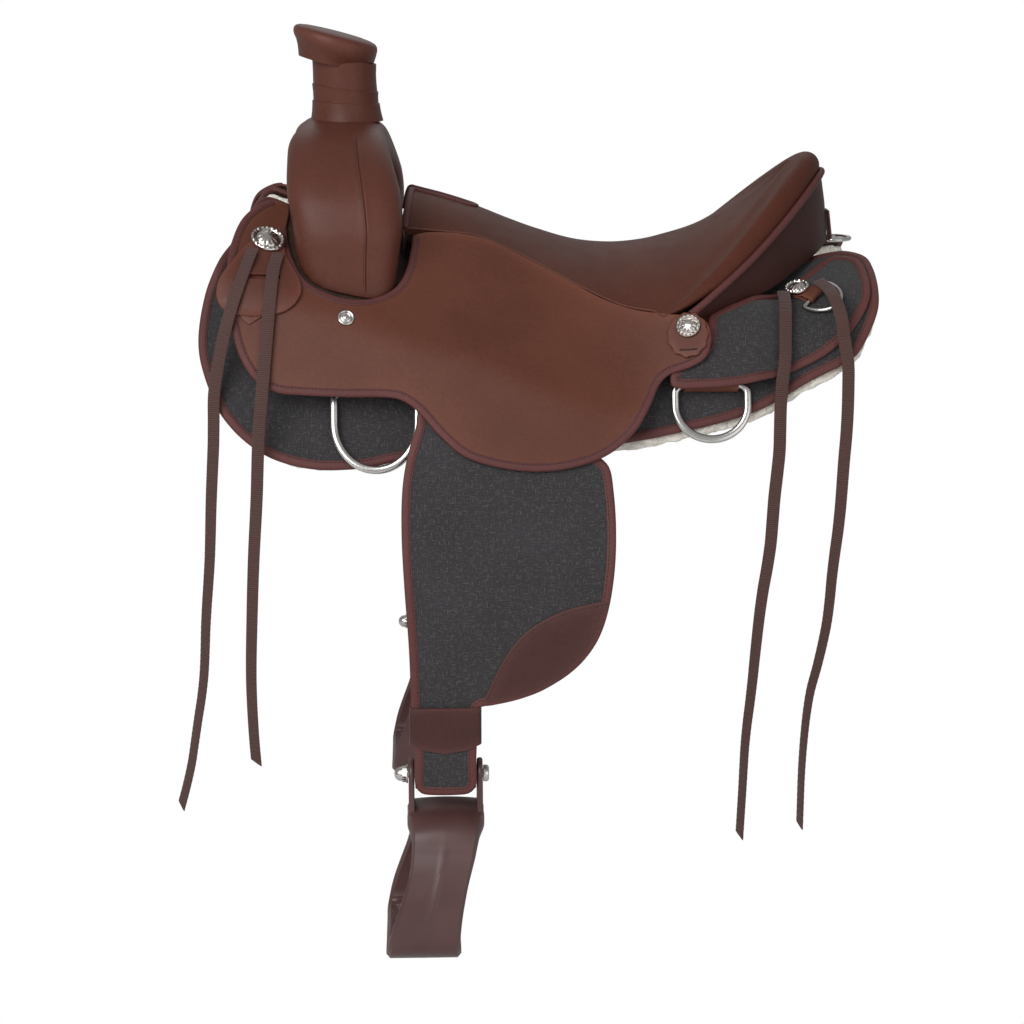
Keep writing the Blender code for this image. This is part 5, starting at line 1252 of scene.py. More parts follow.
# %% Straps and rings
def strap_section(width, thickness, columns=9):
    """Places round a flat strap's section, with round edges: (across, through)."""
    half, round_off = width / 2 - thickness / 2, thickness / 2
    flat = np.linspace(-half, half, columns)
    edge = np.radians(np.arange(-60, 61, 30))
    right = np.stack((half + round_off * np.cos(edge), round_off * np.sin(edge)), axis=1)
    under = np.stack((flat, -round_off * np.ones(columns)), axis=1)
    over = np.stack((flat[::-1], round_off * np.ones(columns)), axis=1)
    return np.concatenate((under, right, over, -right))


def strap(name, path, thickness, width, middle_x, surface, side, body, stands_for, finish=HIDE, rows=90):
    """A strap along a path of (drop, height) in mm, carried across its width on a layer."""
    line = curve(MM * np.array(path, float), rows)
    along = unit(np.gradient(line, axis=0))
    across = np.stack((-along[:, 1], along[:, 0]), axis=1)
    outline = strap_section(width * MM, thickness * MM)
    drop = line[:, :1] + outline[:, 1] * across[:, :1]
    height = line[:, 1:] + outline[:, 1] * across[:, 1:]
    x = middle_x(line[:, 0])[:, None] + outline[:, 0]
    flat = np.stack((x, drop), axis=-1)
    places = surface(flat.reshape(-1, 2), height.ravel(), side)
    uv = np.stack((x, np.broadcast_to(run(line)[:, None], x.shape)), axis=-1)
    wear = np.exp(-(width * MM / 2 - abs(np.broadcast_to(outline[:, 0], x.shape))) / (3 * MM))
    return make(name, places, tube_faces(rows, len(outline), False), finish, body,
                (stands_for,), uv, wear=wear)


def sweep(middle, radius, start, end, count=9):
    """Places on an arc, in degrees."""
    turn = np.radians(np.linspace(start, end, count))
    return [(middle[0] + radius * math.cos(a), middle[1] + radius * math.sin(a)) for a in turn]


def ring_path(width, height, straight, corner=9.0):
    """The middle line of a D in mm: bar at the top, two arms, half an ellipse below."""
    half = width / 2
    path = sweep((half - corner, -corner), corner, 90, 0)
    path += [(half, -corner - share * (straight - corner)) for share in (0.25, 0.5, 0.75)]
    turn = np.radians(np.linspace(0, -180, 41))
    path += [(half * math.cos(a), -straight + (height - straight) * math.sin(a)) for a in turn]
    path += [(-half, -corner - share * (straight - corner)) for share in (0.75, 0.5, 0.25)]
    path += sweep((corner - half, -corner), corner, 180, 90)
    path += [(half * share, 0) for share in (-0.6, -0.3, 0, 0.3, 0.6)]
    return np.array(path)


def dee(name, x, drop, width, height, straight, side, body, stands_for):
    """A D ring of polished bar on the flank, its bar in the leather and its round side on the skirt."""
    wire, clearance = 2 * RING_WIRE / MM, 0.6
    lean = ((RING_HEIGHT - SKIRT_TOP - RING_WIRE) / MM - clearance) / height
    path = MM * ring_path(width - wire, height - wire, straight)
    flat = np.stack((MM * x + path[:, 0], MM * drop - path[:, 1]), axis=1)
    lift = RING_HEIGHT + lean * path[:, 1]
    line = on_hang(flat, lift, side)
    up = unit(on_hang(flat, lift + MM, side) - line)
    along = unit(np.roll(line, -1, axis=0) - np.roll(line, 1, axis=0))
    places = tube(line, np.cross(along, up), up, oval(3.8 * MM, 3.6 * MM, 20, 0.72))
    return make(name, places, tube_faces(len(line), 20, True), STAINLESS, body,
                (stands_for,), sharp=70)


def ring_middle(x):
    return lambda drop: np.full(len(drop), x * MM)


for word, side in SIDES:
    path = [(-14, 23.5), (-4, 23.5), (8, 23.8), (16, 22.3), (21, 19.5)]
    path += sweep((26, 11.6), 5.5, 90, -90) + [(21, 6.1), (16.5, 6.1)]
    strap(f"front_rigging_{word}", path, 2.6, 58, ring_middle(-161.5), on_barrel, side, "saddle",
          f"front_rigging_leather_{word}")
    path = [(-46, 17.1), (-36, 17.1), (-18, 17.1), (0, 17.1), (13, 17.1)]
    path += sweep((22.5, 11.6), 5.5, 90, -90) + [(13, 6.1), (0, 6.1), (-18, 6.1), (-36, 6.1), (-46, 6.1)]
    strap(f"rear_rigging_{word}", path, 2.6, 52, ring_middle(158.5), on_barrel, side, "saddle",
          f"rear_rigging_leather_{word}")
    dee(f"front_ring_{word}", -161.5, 26, 87, 84, 32, side, f"front_dee_{word}", f"front_dee_{word}")
    dee(f"rear_ring_{word}", 158.5, 22.5, 77, 60, 20, side, f"rear_dee_{word}", f"rear_dee_{word}")

# %% [markdown]
# The stirrup leather loops over the bar, runs down inside the fender and turns round the stirrup's bolt. It is
# one strap, so it is one path. A leather hobble strap binds its plies to the fender's neck. It is a band round a
# squarish oval, and its lower edge sags to a point in front.

# %% Stirrup leathers and hobble straps
def leather_middle(drop):
    share = np.clip((drop - 34 * MM) / (296 * MM), 0, 1)
    return -75 * MM + (NECK_X + 75 * MM) * share


strap_path = [(120, 20.3), (94, 20.3), (88, 18.8), (62, 7.8), (54, 6.6), (40, 6.6)]
strap_path += sweep((25.3, 15.25), 8.65, -90, -270, 11)
strap_path += [(40, 23.9), (80, 23.9), (125, 23.9), (175, 23.9), (225, 23.9), (275, 23.9), (325, 23.9)]
strap_path += [(359, 23.9), (377, 26.4)]
strap_path += sweep((391, 14), 13, 90, -90, 11)
strap_path += [(381, 5.5), (361, 19.3), (354, 20.3), (320, 20.3), (270, 20.3), (220, 20.3), (180, 20.3)]
for word, side in SIDES:
    body = f"fender_{word}"
    strap(f"stirrup_strap_{word}", strap_path, 3.2, 58, leather_middle, on_hang, side, body,
          f"stirrup_leather_{word}", ROUGH_HIDE, 260)
    low, high, half = 18.1 * MM, 29.7 * MM, 31.8 * MM
    turn = np.linspace(0, 2 * np.pi, 96, endpoint=False)
    c, s = np.cos(turn), np.sin(turn)
    around = np.stack((half * np.sign(c) * abs(c) ** 0.16,
                       (high + low) / 2 + (high - low) / 2 * np.sign(s) * abs(s) ** 0.35), axis=1)
    out = outward_of(around)
    section_points = strap_section(1.0, 2.4 * MM, 9)
    share = section_points[:, 0] / abs(section_points[:, 0]).max()
    sag = 9 * MM * np.clip(1 - (around[:, 0] / half) ** 2, 0, 1) * (around[:, 1] > high - 2 * MM)
    drop = 339 * MM + 18 * MM * share[None] + sag[:, None] * np.clip(share, 0, 1)[None]
    through_out = 1.2 * MM + section_points[:, 1]
    x = NECK_X + around[:, :1] + out[:, :1] * through_out
    height = around[:, 1:] + out[:, 1:] * through_out
    flat = np.stack((x, drop), axis=-1)
    places = on_hang(flat.reshape(-1, 2), height.ravel(), side)
    wear = np.broadcast_to(np.exp(-6 * (1 - abs(share))), x.shape)
    make(f"hobble_band_{word}", places, tube_faces(96, len(share), True), STRAP_HIDE, body,
         (f"hobble_strap_{word}",), flat.reshape(-1, 2), wear=wear)

# %% [markdown]
# Stirrups are moulded from brown plastic: an arch under the bolt, two bowed sides with a parting ridge down
# the middle, and a ribbed tread. Each row of the table is a station round the ring: place, depth and thickness.
# A section carried round it gives width and thickness their own curves, which a bevelled curve couldn't.

# %% The stirrup's ring
STIRRUP_RING = np.array((
    (0, 42, 72.6, 15), (22, 44, 72.6, 14), (38, 52, 64, 13), (52, 68, 60, 12), (61, 89, 58, 10),
    (66.5, 112, 61, 10), (68.5, 133, 65, 10), (66.5, 149, 68, 11), (55.5, 158.5, 71, 11), (30.5, 160, 71, 11),
    (0, 160, 71, 11),
), float)
left = STIRRUP_RING[-2:0:-1] * (-1, 1, 1, 1)
stations = MM * np.concatenate((STIRRUP_RING, left))
stations[:, 1] *= -1
wrapped = np.concatenate((stations[-3:], stations, stations[:4]))
along = run(wrapped[:, :2])
places_along = np.linspace(along[3], along[3 + len(stations)], 260, endpoint=False)
ring = np.stack([through(along, column, places_along) for column in wrapped.T], axis=1)
ahead = unit(np.roll(ring[:, :2], -1, axis=0) - np.roll(ring[:, :2], 1, axis=0))
outside = np.stack((-ahead[:, 1], ahead[:, 0]), axis=1)
share = np.concatenate((np.linspace(-1, 1, 21), np.linspace(1, -1, 21)))
face = np.repeat((1.0, -1.0), 21)
edge_drop = np.sqrt(np.clip(1 - np.clip((abs(share) - 0.9) / 0.1, 0, 1) ** 2, 0, 1))
on_side = np.exp(-(((ring[:, 1] + 105 * MM) / (42 * MM)) ** 4))
ridge = (1.3 * MM * (1 - abs(share)) + 0.9 * MM * (abs(share) < 0.03))[None] * on_side[:, None] * (face > 0)
on_arch = ease(-62 * MM, -48 * MM, ring[:, 1])
crown = 5.5 * MM * (1 - 0.4 * share**2)[None] * on_arch[:, None]
on_tread = 1 - ease(-154 * MM, -148 * MM, ring[:, 1])
teeth = 0.9 * MM * np.clip(1.4 * np.cos(2 * np.pi * ring[:, 0] / (7 * MM)), -1, 1)
teeth = (teeth * on_tread)[:, None] * (face < 0) * (abs(share) < 0.86)
half_thickness = ring[:, 3:] / 2 * np.maximum(edge_drop, 0.25)[None]
out = face * half_thickness + ridge + crown * (face > 0) - teeth
slant = 22 * MM * ease(38 * MM, 160 * MM, -ring[:, 1])
stirrup_x = ring[:, 2:3] / 2 * share - slant[:, None]
stirrup_y = ring[:, :1] + out * outside[:, :1]
stirrup_z = ring[:, 1:2] + out * outside[:, 1:]
stirrup_local = np.stack((stirrup_x, stirrup_y, stirrup_z), axis=-1)
print("stirrup, in mm:", (np.ptp(stirrup_local.reshape(-1, 3), axis=0) / MM).round())

# %% [markdown]
# The ring hangs on a bolt through two ears. An ear is a plate with rounded edges, and the bolt with its sleeve
# and six-sided head is turned on a lathe: one profile carried round its axis.


# %% Ears and bolts
ear_turn = np.radians(np.linspace(-10, 190, 33))
ear_edge = [(15 * math.cos(a), 15 * math.sin(a)) for a in ear_turn]
ear_edge += [(-17, -14), (-19, -26), (-20, -36), (-20, -44), (0, -46)]
ear_edge += [(20, -44), (20, -36), (19, -26), (17, -14)]
ear_edge = MM * np.array(ear_edge)


def slab(outline, start, end, rounding):
    """Places and faces of a plate between two values of x, with rounded edges."""
    middle = outline.mean(axis=0)
    away = unit(outline - middle)
    rows = []
    for x, inset in ((start, None), (start, rounding), (start + 0.4 * rounding, 0.3 * rounding),
                     (start + rounding, 0), (end - rounding, 0), (end - 0.4 * rounding, 0.3 * rounding),
                     (end, rounding), (end, None)):
        edge = np.broadcast_to(middle, outline.shape) if inset is None else outline - inset * away
        rows.append(np.column_stack((np.full(len(outline), x), edge)))
    return np.concatenate(rows), quads(8, len(outline), False, True)


bolt_profile = [
    (0, -48.9), (2, -48.7), (4, -47.8), (5.6, -46.2), (6.6, -44.2), (7.0, -41.5), (7.6, -41.0), (7.6, -37.6),
    (9, -37.3), (9, -36.2), (8.6, -35.9), (4, -35.9), (4, -28.8), (10.4, -28.8), (11, -28.2), (11, 28.2),
    (10.4, 28.8), (4, 28.8), (4, 35.9), (7.6, 35.9), (8, 36.4), (8, 39.4), (7.4, 40.6), (6, 41.4), (0, 41.6),
]


def lathe(profile, middle, axis, first, second, sides=48, hexagon=()):
    """A profile of (radius, place along the axis) in mm, turned round it; some radii are made six-sided."""
    profile = np.array(profile, float)
    turn = np.arange(sides) * 2 * np.pi / sides
    radius = np.repeat(profile[:, :1], sides, axis=1)
    flats = math.cos(math.pi / 6) / np.cos((turn % (math.pi / 3)) - math.pi / 6)
    for row in hexagon:
        radius[row] *= 1.06 * flats
    around = np.cos(turn)[:, None] * first + np.sin(turn)[:, None] * second
    places = middle + MM * radius[..., None] * around + MM * profile[:, 1][:, None, None] * axis
    return places.reshape(-1, 3), quads(len(profile), sides, False, True)


X, Y, Z = np.eye(3)
for word, side in SIDES:
    axis_place = on_hang(np.array(((NECK_X, BOLT_DROP),)), np.array((BOLT_HEIGHT,)), 1)[0]
    flip = np.array((1, side, 1))
    parts = [(stirrup_local.reshape(-1, 3), tube_faces(len(ring), len(share), True))]
    parts += [slab(ear_edge, start * MM, (start + 5.5) * MM, 1.6 * MM) for start in (-35.3, 29.8)]
    places, faces = joined(parts)
    make(f"stirrup_moulding_{word}", (places + axis_place) * flip, faces, PLASTIC, f"stirrup_{word}",
         (f"stirrup_{word}",), sharp=35)
    places, faces = lathe(bolt_profile, axis_place * flip, X, Y, Z, 48, (6, 7))
    make(f"bolt_{word}", places, faces, STAINLESS, f"fender_{word}",
         (f"stirrup_bolt_{word}",), sharp=32)

# %% [markdown]
# The fork is the arch at the front. Its swells bulge out below the horn and tuck in again at the bars. Each row
# of the table is a section of one half, from foot to crown: its inner and outer place, and its front and rear. A
# squarish oval is carried through them, and its foot is laid on the bars.

# %% The fork's surface
FORK = MM * np.array((
    (82, 116, 164, 64, -232, -141), (91, 122, 165, 96, -238, -138), (92, 141, 164, 127, -241, -135),
    (82, 159, 151, 160, -246, -137), (61, 173, 120, 192, -247, -144), (32, 182, 76, 214, -246, -150),
    (0, 185, 0, 226, -237, -155),
), float)
DART = math.radians(79)


def resting(x, y, height):
    """Height of the layer over the barrel at places in plan, found by halving the drop's range."""
    low, high = section(BARREL, x)[-1] - 20 * MM, np.full(x.shape, 60 * MM)
    for _ in range(30):
        middle = (low + high) / 2
        inside = drape(BARREL, x, middle, height)[..., 1] < y
        low, high = np.where(inside, middle, low), np.where(inside, high, middle)
    return drape(BARREL, x, low, height)[..., 2]


def fork_place(place, turn, out=0.0):
    """The cover's skin at a place across the fork (0 foot to 6 crown) and a turn round its section."""
    inner_y, inner_z, outer_y, outer_z, front, rear = (through(range(7), column, place) for column in FORK.T)
    c, s = np.cos(turn), np.sin(turn)
    a, b = np.sign(c) * abs(c) ** 0.62, np.sign(s) * abs(s) ** 0.62
    x = (front + rear) / 2 + a * ((rear - front) / 2 + out)
    length = np.hypot(outer_y - inner_y, outer_z - inner_z)
    share = 0.5 + b * (0.5 + out / length)
    y, z = inner_y + share * (outer_y - inner_y), inner_z + share * (outer_z - inner_z)
    rest = resting(x, y, BAR_TOP + 2 * MM)
    z = np.where(place <= 0, rest, np.where(place < 2, np.maximum(z, rest), z))
    return np.stack((x, y, z), axis=-1)


# %% [markdown]
# Wet leather was stretched over the fork, and its slack was cut out and sewn as a dart down each side. The dart
# is a groove between two soft ridges, so the net of the cover is made finer there, and threads lie beside it.

# %% Fork cover and dart
turns = np.radians(105 + 6 * np.arange(60))
near_dart = DART + np.radians((-3.4, -2.2, -1.3, -0.6, 0.0, 0.6, 1.3, 2.2, 3.4))
gap = abs((turns[:, None] - DART + np.pi) % (2 * np.pi) - np.pi).min(axis=1)
turns = np.sort(np.concatenate((turns[gap > math.radians(4.5)] % (2 * np.pi), near_dart)))
across = np.concatenate((np.linspace(0, 2, 17), np.linspace(2.1, 6, 30)))
place_grid, turn_grid = np.meshgrid(across, turns, indexing="ij")
offset = turn_grid - DART
dart = 0.9 * MM * np.exp(-((offset / math.radians(2.2)) ** 2))
dart = dart - 1.9 * MM * np.exp(-((offset / math.radians(0.55)) ** 2))
dart = dart * ease(0.05, 0.3, place_grid) * (1 - ease(4.6, 5.1, place_grid))
half = fork_place(place_grid, turn_grid, dart)
cover = np.concatenate((half * (1, -1, 1), half[-2::-1]))
make("fork_leather", cover, tube_faces(len(cover), len(turns), False), SMOOTH_HIDE, "saddle",
     ("fork_cover",), sharp=60)
rows = []
at = np.linspace(0.3, 4.7, 66)
beside = np.full(len(at), DART + math.radians(2.6))
for word, side in SIDES:
    line = fork_place(at, beside, 0.75 * MM) * (1, side, 1)
    lifted = fork_place(at, beside, 2.75 * MM) * (1, side, 1)
    start, end = line[:-1] * 0.8 + line[1:] * 0.2, line[:-1] * 0.25 + line[1:] * 0.75
    rows.append(threads(start, end, unit(lifted - line)[:-1], 0.7 * MM))
sewn("fork_stitches", rows, "saddle")

# %% [markdown]
# The horn is wrapped for dallying. Its neck has three turns of leather that overlap downwards. The cap is a
# stitched leather disc, which is thin and raised in front and deep behind. Both are profiles carried round the
# horn, but the neck's rows lean over step by step, and the cap's profile changes from rear to front.

# %% Horn
HORN_X, CROWN, CAP_TILT = -195 * MM, 226 * MM, math.radians(14.5)
CAP = np.array((-201 * MM, 0, 296 * MM))
CAP_AXIS = np.array((math.sin(CAP_TILT), 0, math.cos(CAP_TILT)))
CAP_REAR = np.array((math.cos(CAP_TILT), 0, -math.sin(CAP_TILT)))
SIDES_ROUND = 96
turns = np.arange(SIDES_ROUND) * 2 * np.pi / SIDES_ROUND
neck = np.array((
    (-6, 36.5, 0), (-1, 35.4, 0), (3, 34.6, 0.02), (9, 34, 0.1), (12.6, 33.8, 0.2), (13.1, 32.7, 0.2),
    (20, 32.7, 0.35), (26.6, 33.4, 0.5), (27.1, 32.3, 0.5), (38, 32.3, 0.75), (47, 32.6, 0.9), (52, 33.2, 1.0), (58, 33.6, 1.0),
))
up, radius, lean = neck[:, 0:1], neck[:, 1:2], CAP_TILT * neck[:, 2:3]
neck_places = np.stack((
    HORN_X + (4 - 0.04 * up) * MM + radius * MM * np.cos(turns) * np.cos(lean),
    radius * MM * np.sin(turns),
    CROWN + up * MM - radius * MM * np.cos(turns) * np.sin(lean),
), axis=-1)
make("horn_wrap_leather", neck_places, tube_faces(len(neck), SIDES_ROUND, False), SMOOTH_HIDE, "saddle",
     ("horn_wrap",), sharp=30)
front = ((1 - np.cos(turns)) / 2)[None]
cap_profile = np.array((
    (0, 0, 12, 12), (14, 14, 11.8, 11.8), (26, 26, 11.2, 11.4), (34, 34.5, 10.2, 10.8), (38.5, 40, 8.8, 9.8),
    (41, 43, 6.4, 8.2), (42, 44.3, 3, 5.6), (42, 44, -3, 2.4), (41.6, 42.6, -8, -0.6),
    (40.2, 39.5, -11.6, -4.4), (37.6, 36.8, -14.4, -9.5), (34.6, 34.6, -17, -15.5), (33.2, 33.2, -20, -20),
))
radius = cap_profile[:, 0:1] * (1 - front) + cap_profile[:, 1:2] * front
rise = cap_profile[:, 2:3] * (1 - front) + cap_profile[:, 3:4] * front
around = np.cos(turns)[:, None] * CAP_REAR + np.sin(turns)[:, None] * Y
cap_places = CAP + MM * radius[..., None] * around + MM * rise[..., None] * CAP_AXIS
# The cap is paler in a band round its widest rim.
wear = np.exp(-(((rise - 3) / 4) ** 2)) * 0.6
make("horn_cap_leather", cap_places, quads(len(cap_profile), SIDES_ROUND, False, True), SMOOTH_HIDE, "saddle",
     ("horn_cap_cover",), wear=wear)
fine = np.linspace(0, 2 * np.pi, 72, endpoint=False)
front = (1 - np.cos(fine)) / 2
ring_line = CAP + MM * (
    (36.6 - 0.6 * front)[:, None] * (np.cos(fine)[:, None] * CAP_REAR + np.sin(fine)[:, None] * Y)
    + (-15.4 + 5.4 * front)[:, None] * CAP_AXIS
)
after = np.roll(ring_line, -1, axis=0)
outward = unit(np.cos(fine)[:, None] * CAP_REAR + np.sin(fine)[:, None] * Y - 0.6 * CAP_AXIS)
start, end = ring_line * 0.85 + after * 0.15, ring_line * 0.2 + after * 0.8
sewn("horn_stitches", [threads(start, end, outward, 0.8 * MM)], "saddle")

# %% [markdown]
# The cantle is the raised board behind the rider, with a padded roll along its top. Everything on it is placed
# from one curve, its crest, and from a frame at each share of its half width: base, up, outward, height, radius.

# %% The cantle's crest
CANTLE_HALF = 172 * MM
CREST_FULL = math.hypot(1, 0.564) - 0.564
CANTLE = np.array((
    (0, 0, 293, 102), (0.174, 0.14, 289, 99), (0.355, 0.279, 278, 92), (0.517, 0.395, 263, 84),
    (0.64, 0.512, 248, 77), (0.744, 0.628, 231, 68), (0.843, 0.721, 211, 60), (0.936, 0.808, 188, 54),
    (1, 0.878, 168, 48),
))


def crest(share):
    """The top of the cantle's roll at a share of its half width."""
    fall = 124.6 * MM * (np.hypot(share, 0.564) - 0.564) / CREST_FULL
    return np.stack((282 * MM - 140 * MM * abs(share) ** 1.56, share * CANTLE_HALF, 189 * MM - fall), axis=-1)


def cantle_frame(share):
    """Base, up, outward, height and roll radius of the cantle at shares of its half width."""
    top = crest(share)
    base = np.stack((MM * through(CANTLE[:, 0], CANTLE[:, 2], abs(share)),
                     np.sign(share) * CANTLE_HALF * through(CANTLE[:, 0], CANTLE[:, 1], abs(share)),
                     MM * through(CANTLE[:, 0], CANTLE[:, 3], abs(share))), axis=-1)
    ahead = unit(crest(share + 0.006) - crest(share - 0.006))
    up = unit(top - base)
    outward = unit(np.cross(ahead, up))
    return base, up, outward, np.linalg.norm(top - base, axis=-1), 14 * MM * (1 - 0.35 * abs(share) ** 3)


def cantle_line(share, outward_by, up_by):
    """A line along the cantle: outward_by and up_by are worked out from the height and the roll's radius."""
    base, up, outward, height, radius = cantle_frame(share)
    return base + outward_by(height, radius)[:, None] * outward + up_by(height, radius)[:, None] * up


# %% [markdown]
# The seat is one padded cover. It starts as two bound ears behind the fork, dips where the rider sits and
# climbs into the dish of the cantle. Its top is a net between two curves: the centre line, and the seam with the
# jockeys, which runs on along the foot of the roll.

# %% The seat's centre line and edge
SEAT_CENTRE = MM * np.array((
    (-118, 151), (-92, 144), (-62, 134), (-30, 121), (0, 110), (38, 99), (75, 95.5), (108, 98), (136, 104),
    (162, 113), (190, 127), (220, 147), (247, 170), (255, 178),
), float)
edge_places = []
for x in (-118, -92, -62, -30, 0, 38, 75, 104, 122):
    y, z = (float(value) for value in section(SEAT_SIDE, np.array(x * MM))[:2])
    edge_places.append((x * MM, y, z + 1 * MM))
for share in (0.802, 0.616, 0.349, 0.081, 0.0001):
    run_on = crest(np.array(share + 0.006)) - crest(np.array(share - 0.006))
    aside = np.array((run_on[1], -run_on[0])) / np.hypot(run_on[0], run_on[1])
    top = crest(np.array(share))
    inward = 2 * 14 * MM * (1 - 0.35 * share**3)
    edge_places.append((top[0] - inward * aside[0], top[1] - inward * aside[1], top[2] - 9 * MM))
EDGE = np.array(edge_places)
LAST = len(EDGE) - 1


def seat_top(index, share):
    """The pad's top at a place along the seat and a share from its centre line to its edge."""
    index = np.where(index < 0, index * (0.45 + 0.55 * abs(share)), index)
    centre_x, centre_z = (through(range(LAST + 1), column, index) for column in SEAT_CENTRE.T)
    edge_x, edge_y, edge_z = (through(range(LAST + 1), column, index) for column in EDGE.T)
    edge_y = np.maximum(edge_y, 0)
    x = centre_x * (1 - share) + edge_x * share
    return np.stack((x, share * edge_y, centre_z + (edge_z - centre_z) * abs(share) ** 1.9), axis=-1)


# %% [markdown]
# Cloth simulation is a common way to fill a pad. This seat is stretched leather over firm foam, so it is worked
# out instead: the top, the roll over the crest, and an underside 6 to 13 mm below. Foam makes every change soft,
# so the valley between dish and roll is eased by averaging each place with its neighbours. The rows open in
# front into a slot between the ears.

# %% Seat cover
SMOOTHING_ROUNDS = 26
SPLIT, SPLIT_MIDDLE = 12 * MM, -74 * MM
split_index = [float(np.interp(x, SEAT_CENTRE[:3, 0], range(3)))
               for x in SPLIT_MIDDLE + SPLIT * np.sin(np.radians(np.linspace(0, 90, 9)))]
ear_index, rest_index = np.linspace(-0.6, split_index[0], 14)[:-1], np.linspace(2, LAST, 100)[1:]
index = np.concatenate((ear_index, split_index, rest_index))
row_x = seat_top(index, np.zeros(len(index)))[:, 0]
gap = np.where(row_x < SPLIT_MIDDLE, SPLIT, np.sqrt(np.clip(SPLIT**2 - (row_x - SPLIT_MIDDLE) ** 2, 0, None)))
gap = np.where(index >= 2 - 1e-6, 0, gap)
edge_y = seat_top(index, np.ones(len(index)))[:, 1]
first_share = gap / np.maximum(edge_y, 1e-9)
columns = np.linspace(0, 1, 25) ** 0.9
share_grid = first_share[:, None] + (1 - first_share)[:, None] * columns
index_grid = np.broadcast_to(index[:, None], share_grid.shape)
pad_top = seat_top(index_grid, share_grid)
crest_share = np.interp(index, (7.3, 8.0, 8.5, 9, 10, 11, 12, 13),
                        (1.07, 1.0, 0.91, 0.802, 0.616, 0.349, 0.081, 0.0))
base, up, outward, height, radius = cantle_frame(crest_share)
around = np.radians(np.linspace(178, -38, 19))
roll = (
    base[:, None]
    + (3 * MM - radius[:, None] + radius[:, None] * np.cos(around))[..., None] * outward[:, None]
    + (height[:, None] - radius[:, None] + radius[:, None] * np.sin(around))[..., None] * up[:, None]
)
grown = ease(7.4, 8.5, index)[:, None, None]
roll = pad_top[:, -1:] * (1 - grown) + roll * grown
cover = np.concatenate((pad_top, roll), axis=1)
valley = np.exp(-(((np.arange(cover.shape[1]) - 25.5) / 4.5) ** 2))
weight = (ease(7.2, 9, index)[:, None] * valley)[..., None]
for _ in range(SMOOTHING_ROUNDS):
    smoother = cover.copy()
    smoother[:, 1:-1] = 0.25 * cover[:, :-2] + 0.5 * cover[:, 1:-1] + 0.25 * cover[:, 2:]
    cover = cover * (1 - weight) + smoother * weight
thickness = 13 * MM - 6.5 * MM * share_grid**2
under = pad_top - thickness[..., None] * Z - (1.2 * MM * share_grid**3)[..., None] * Y
loops = np.concatenate((cover, under[:, ::-1]), axis=1)
rows, around_count = loops.shape[:2]
faces = quads(rows, around_count, False, True)
column = np.tile(np.arange(around_count), rows - 1)
row = np.repeat(np.arange(rows - 1), around_count)
open_middle = (column == around_count - 1) & (gap[row] < 1e-9)
faces = faces[~open_middle]
count_top = pad_top.shape[1]
front_wall = np.array([(j, j + 1, around_count - 2 - j, around_count - 1 - j) for j in range(count_top - 1)])
faces = np.concatenate((faces, front_wall))
uv = np.stack((loops[..., 0], loops[..., 1]), axis=-1)
places, faces = joined([(loops.reshape(-1, 3) * (1, -1, 1), faces), (loops.reshape(-1, 3), faces)])
seat = make("seat_cover", places, faces, SEAT_HIDE, "saddle", ("seat_pad", "cantle_roll"),
            np.concatenate((uv, uv)).reshape(-1, 2), sharp=50)

# %% [markdown]
# A thick welt goes round the cantle's edge, between the roll and the back. The back is a firm leather cover, and
# a leather wall closes the seat in front, under the ears. Both are in a darker copy of the cover leather, which
# paints the shade that falls on them. All three are lines of the cantle or the seat, moved outwards or down, so
# they stay in touch with it.

# %% Cantle welt, cantle back and the wall under the seat
shares = np.linspace(-1.06, 1.06, 131)
welt = cantle_line(shares, lambda height, radius: np.full(len(height), 4.2 * MM),
                   lambda height, radius: height - 1.55 * radius)
places, faces = rope(welt, 3.7 * MM, cantle_frame(shares)[2], sides=16)
make("cantle_welt", places, faces, BINDING, "saddle", sharp=80)
back_rows = []
for out_by, up_by in ((0, 0), (3, 0), (3.9, 0.2), (4.5, 0.5), (3.9, 0.8), (3, 1), (0, 1)):
    back_rows.append(cantle_line(shares, lambda height, radius: np.full(len(height), out_by * MM),
                                 lambda height, radius: up_by * (height - 1.35 * radius)))
back = np.stack(back_rows, axis=1)
# The back's darker leather is painted shade.
make("cantle_back_leather", back, tube_faces(len(back), back.shape[1], False), PAINTED_SHADE_HIDE, "saddle",
     ("cantle_back",))
apron_share = np.linspace(-1, 1, 61)
apron_top = seat_top(np.full(61, -0.5), abs(apron_share))
apron_top[:, 1] *= np.sign(apron_share)
apron_top[:, 2] -= 4 * MM
apron_x, apron_y = np.full(61, -134 * MM), apron_top[:, 1] * 1.02
apron_rest = resting(apron_x, np.maximum(abs(apron_y), 30 * MM), BAR_TOP)
apron_foot = np.stack((apron_x, apron_y, apron_rest), axis=1)
down = np.linspace(0, 1, 12)[None, :, None]
apron = apron_top[:, None] * (1 - down) + apron_foot[:, None] * down - 3 * MM * np.sin(np.pi * down) * X
apron = np.concatenate((apron, apron[:, ::-1] + 2.4 * MM * X), axis=1)
# The wall's darker leather is painted shade under the ears.
make("seat_apron", apron, tube_faces(61, 24, False), PAINTED_SHADE_HIDE, "saddle")

# %% [markdown]
# A fine welt lies in the seam between pad and jockey. The ears and the slot between them are bound like the
# jockeys. The binding is a flattened rope that follows the pad's own front edge, so it can't drift off it.

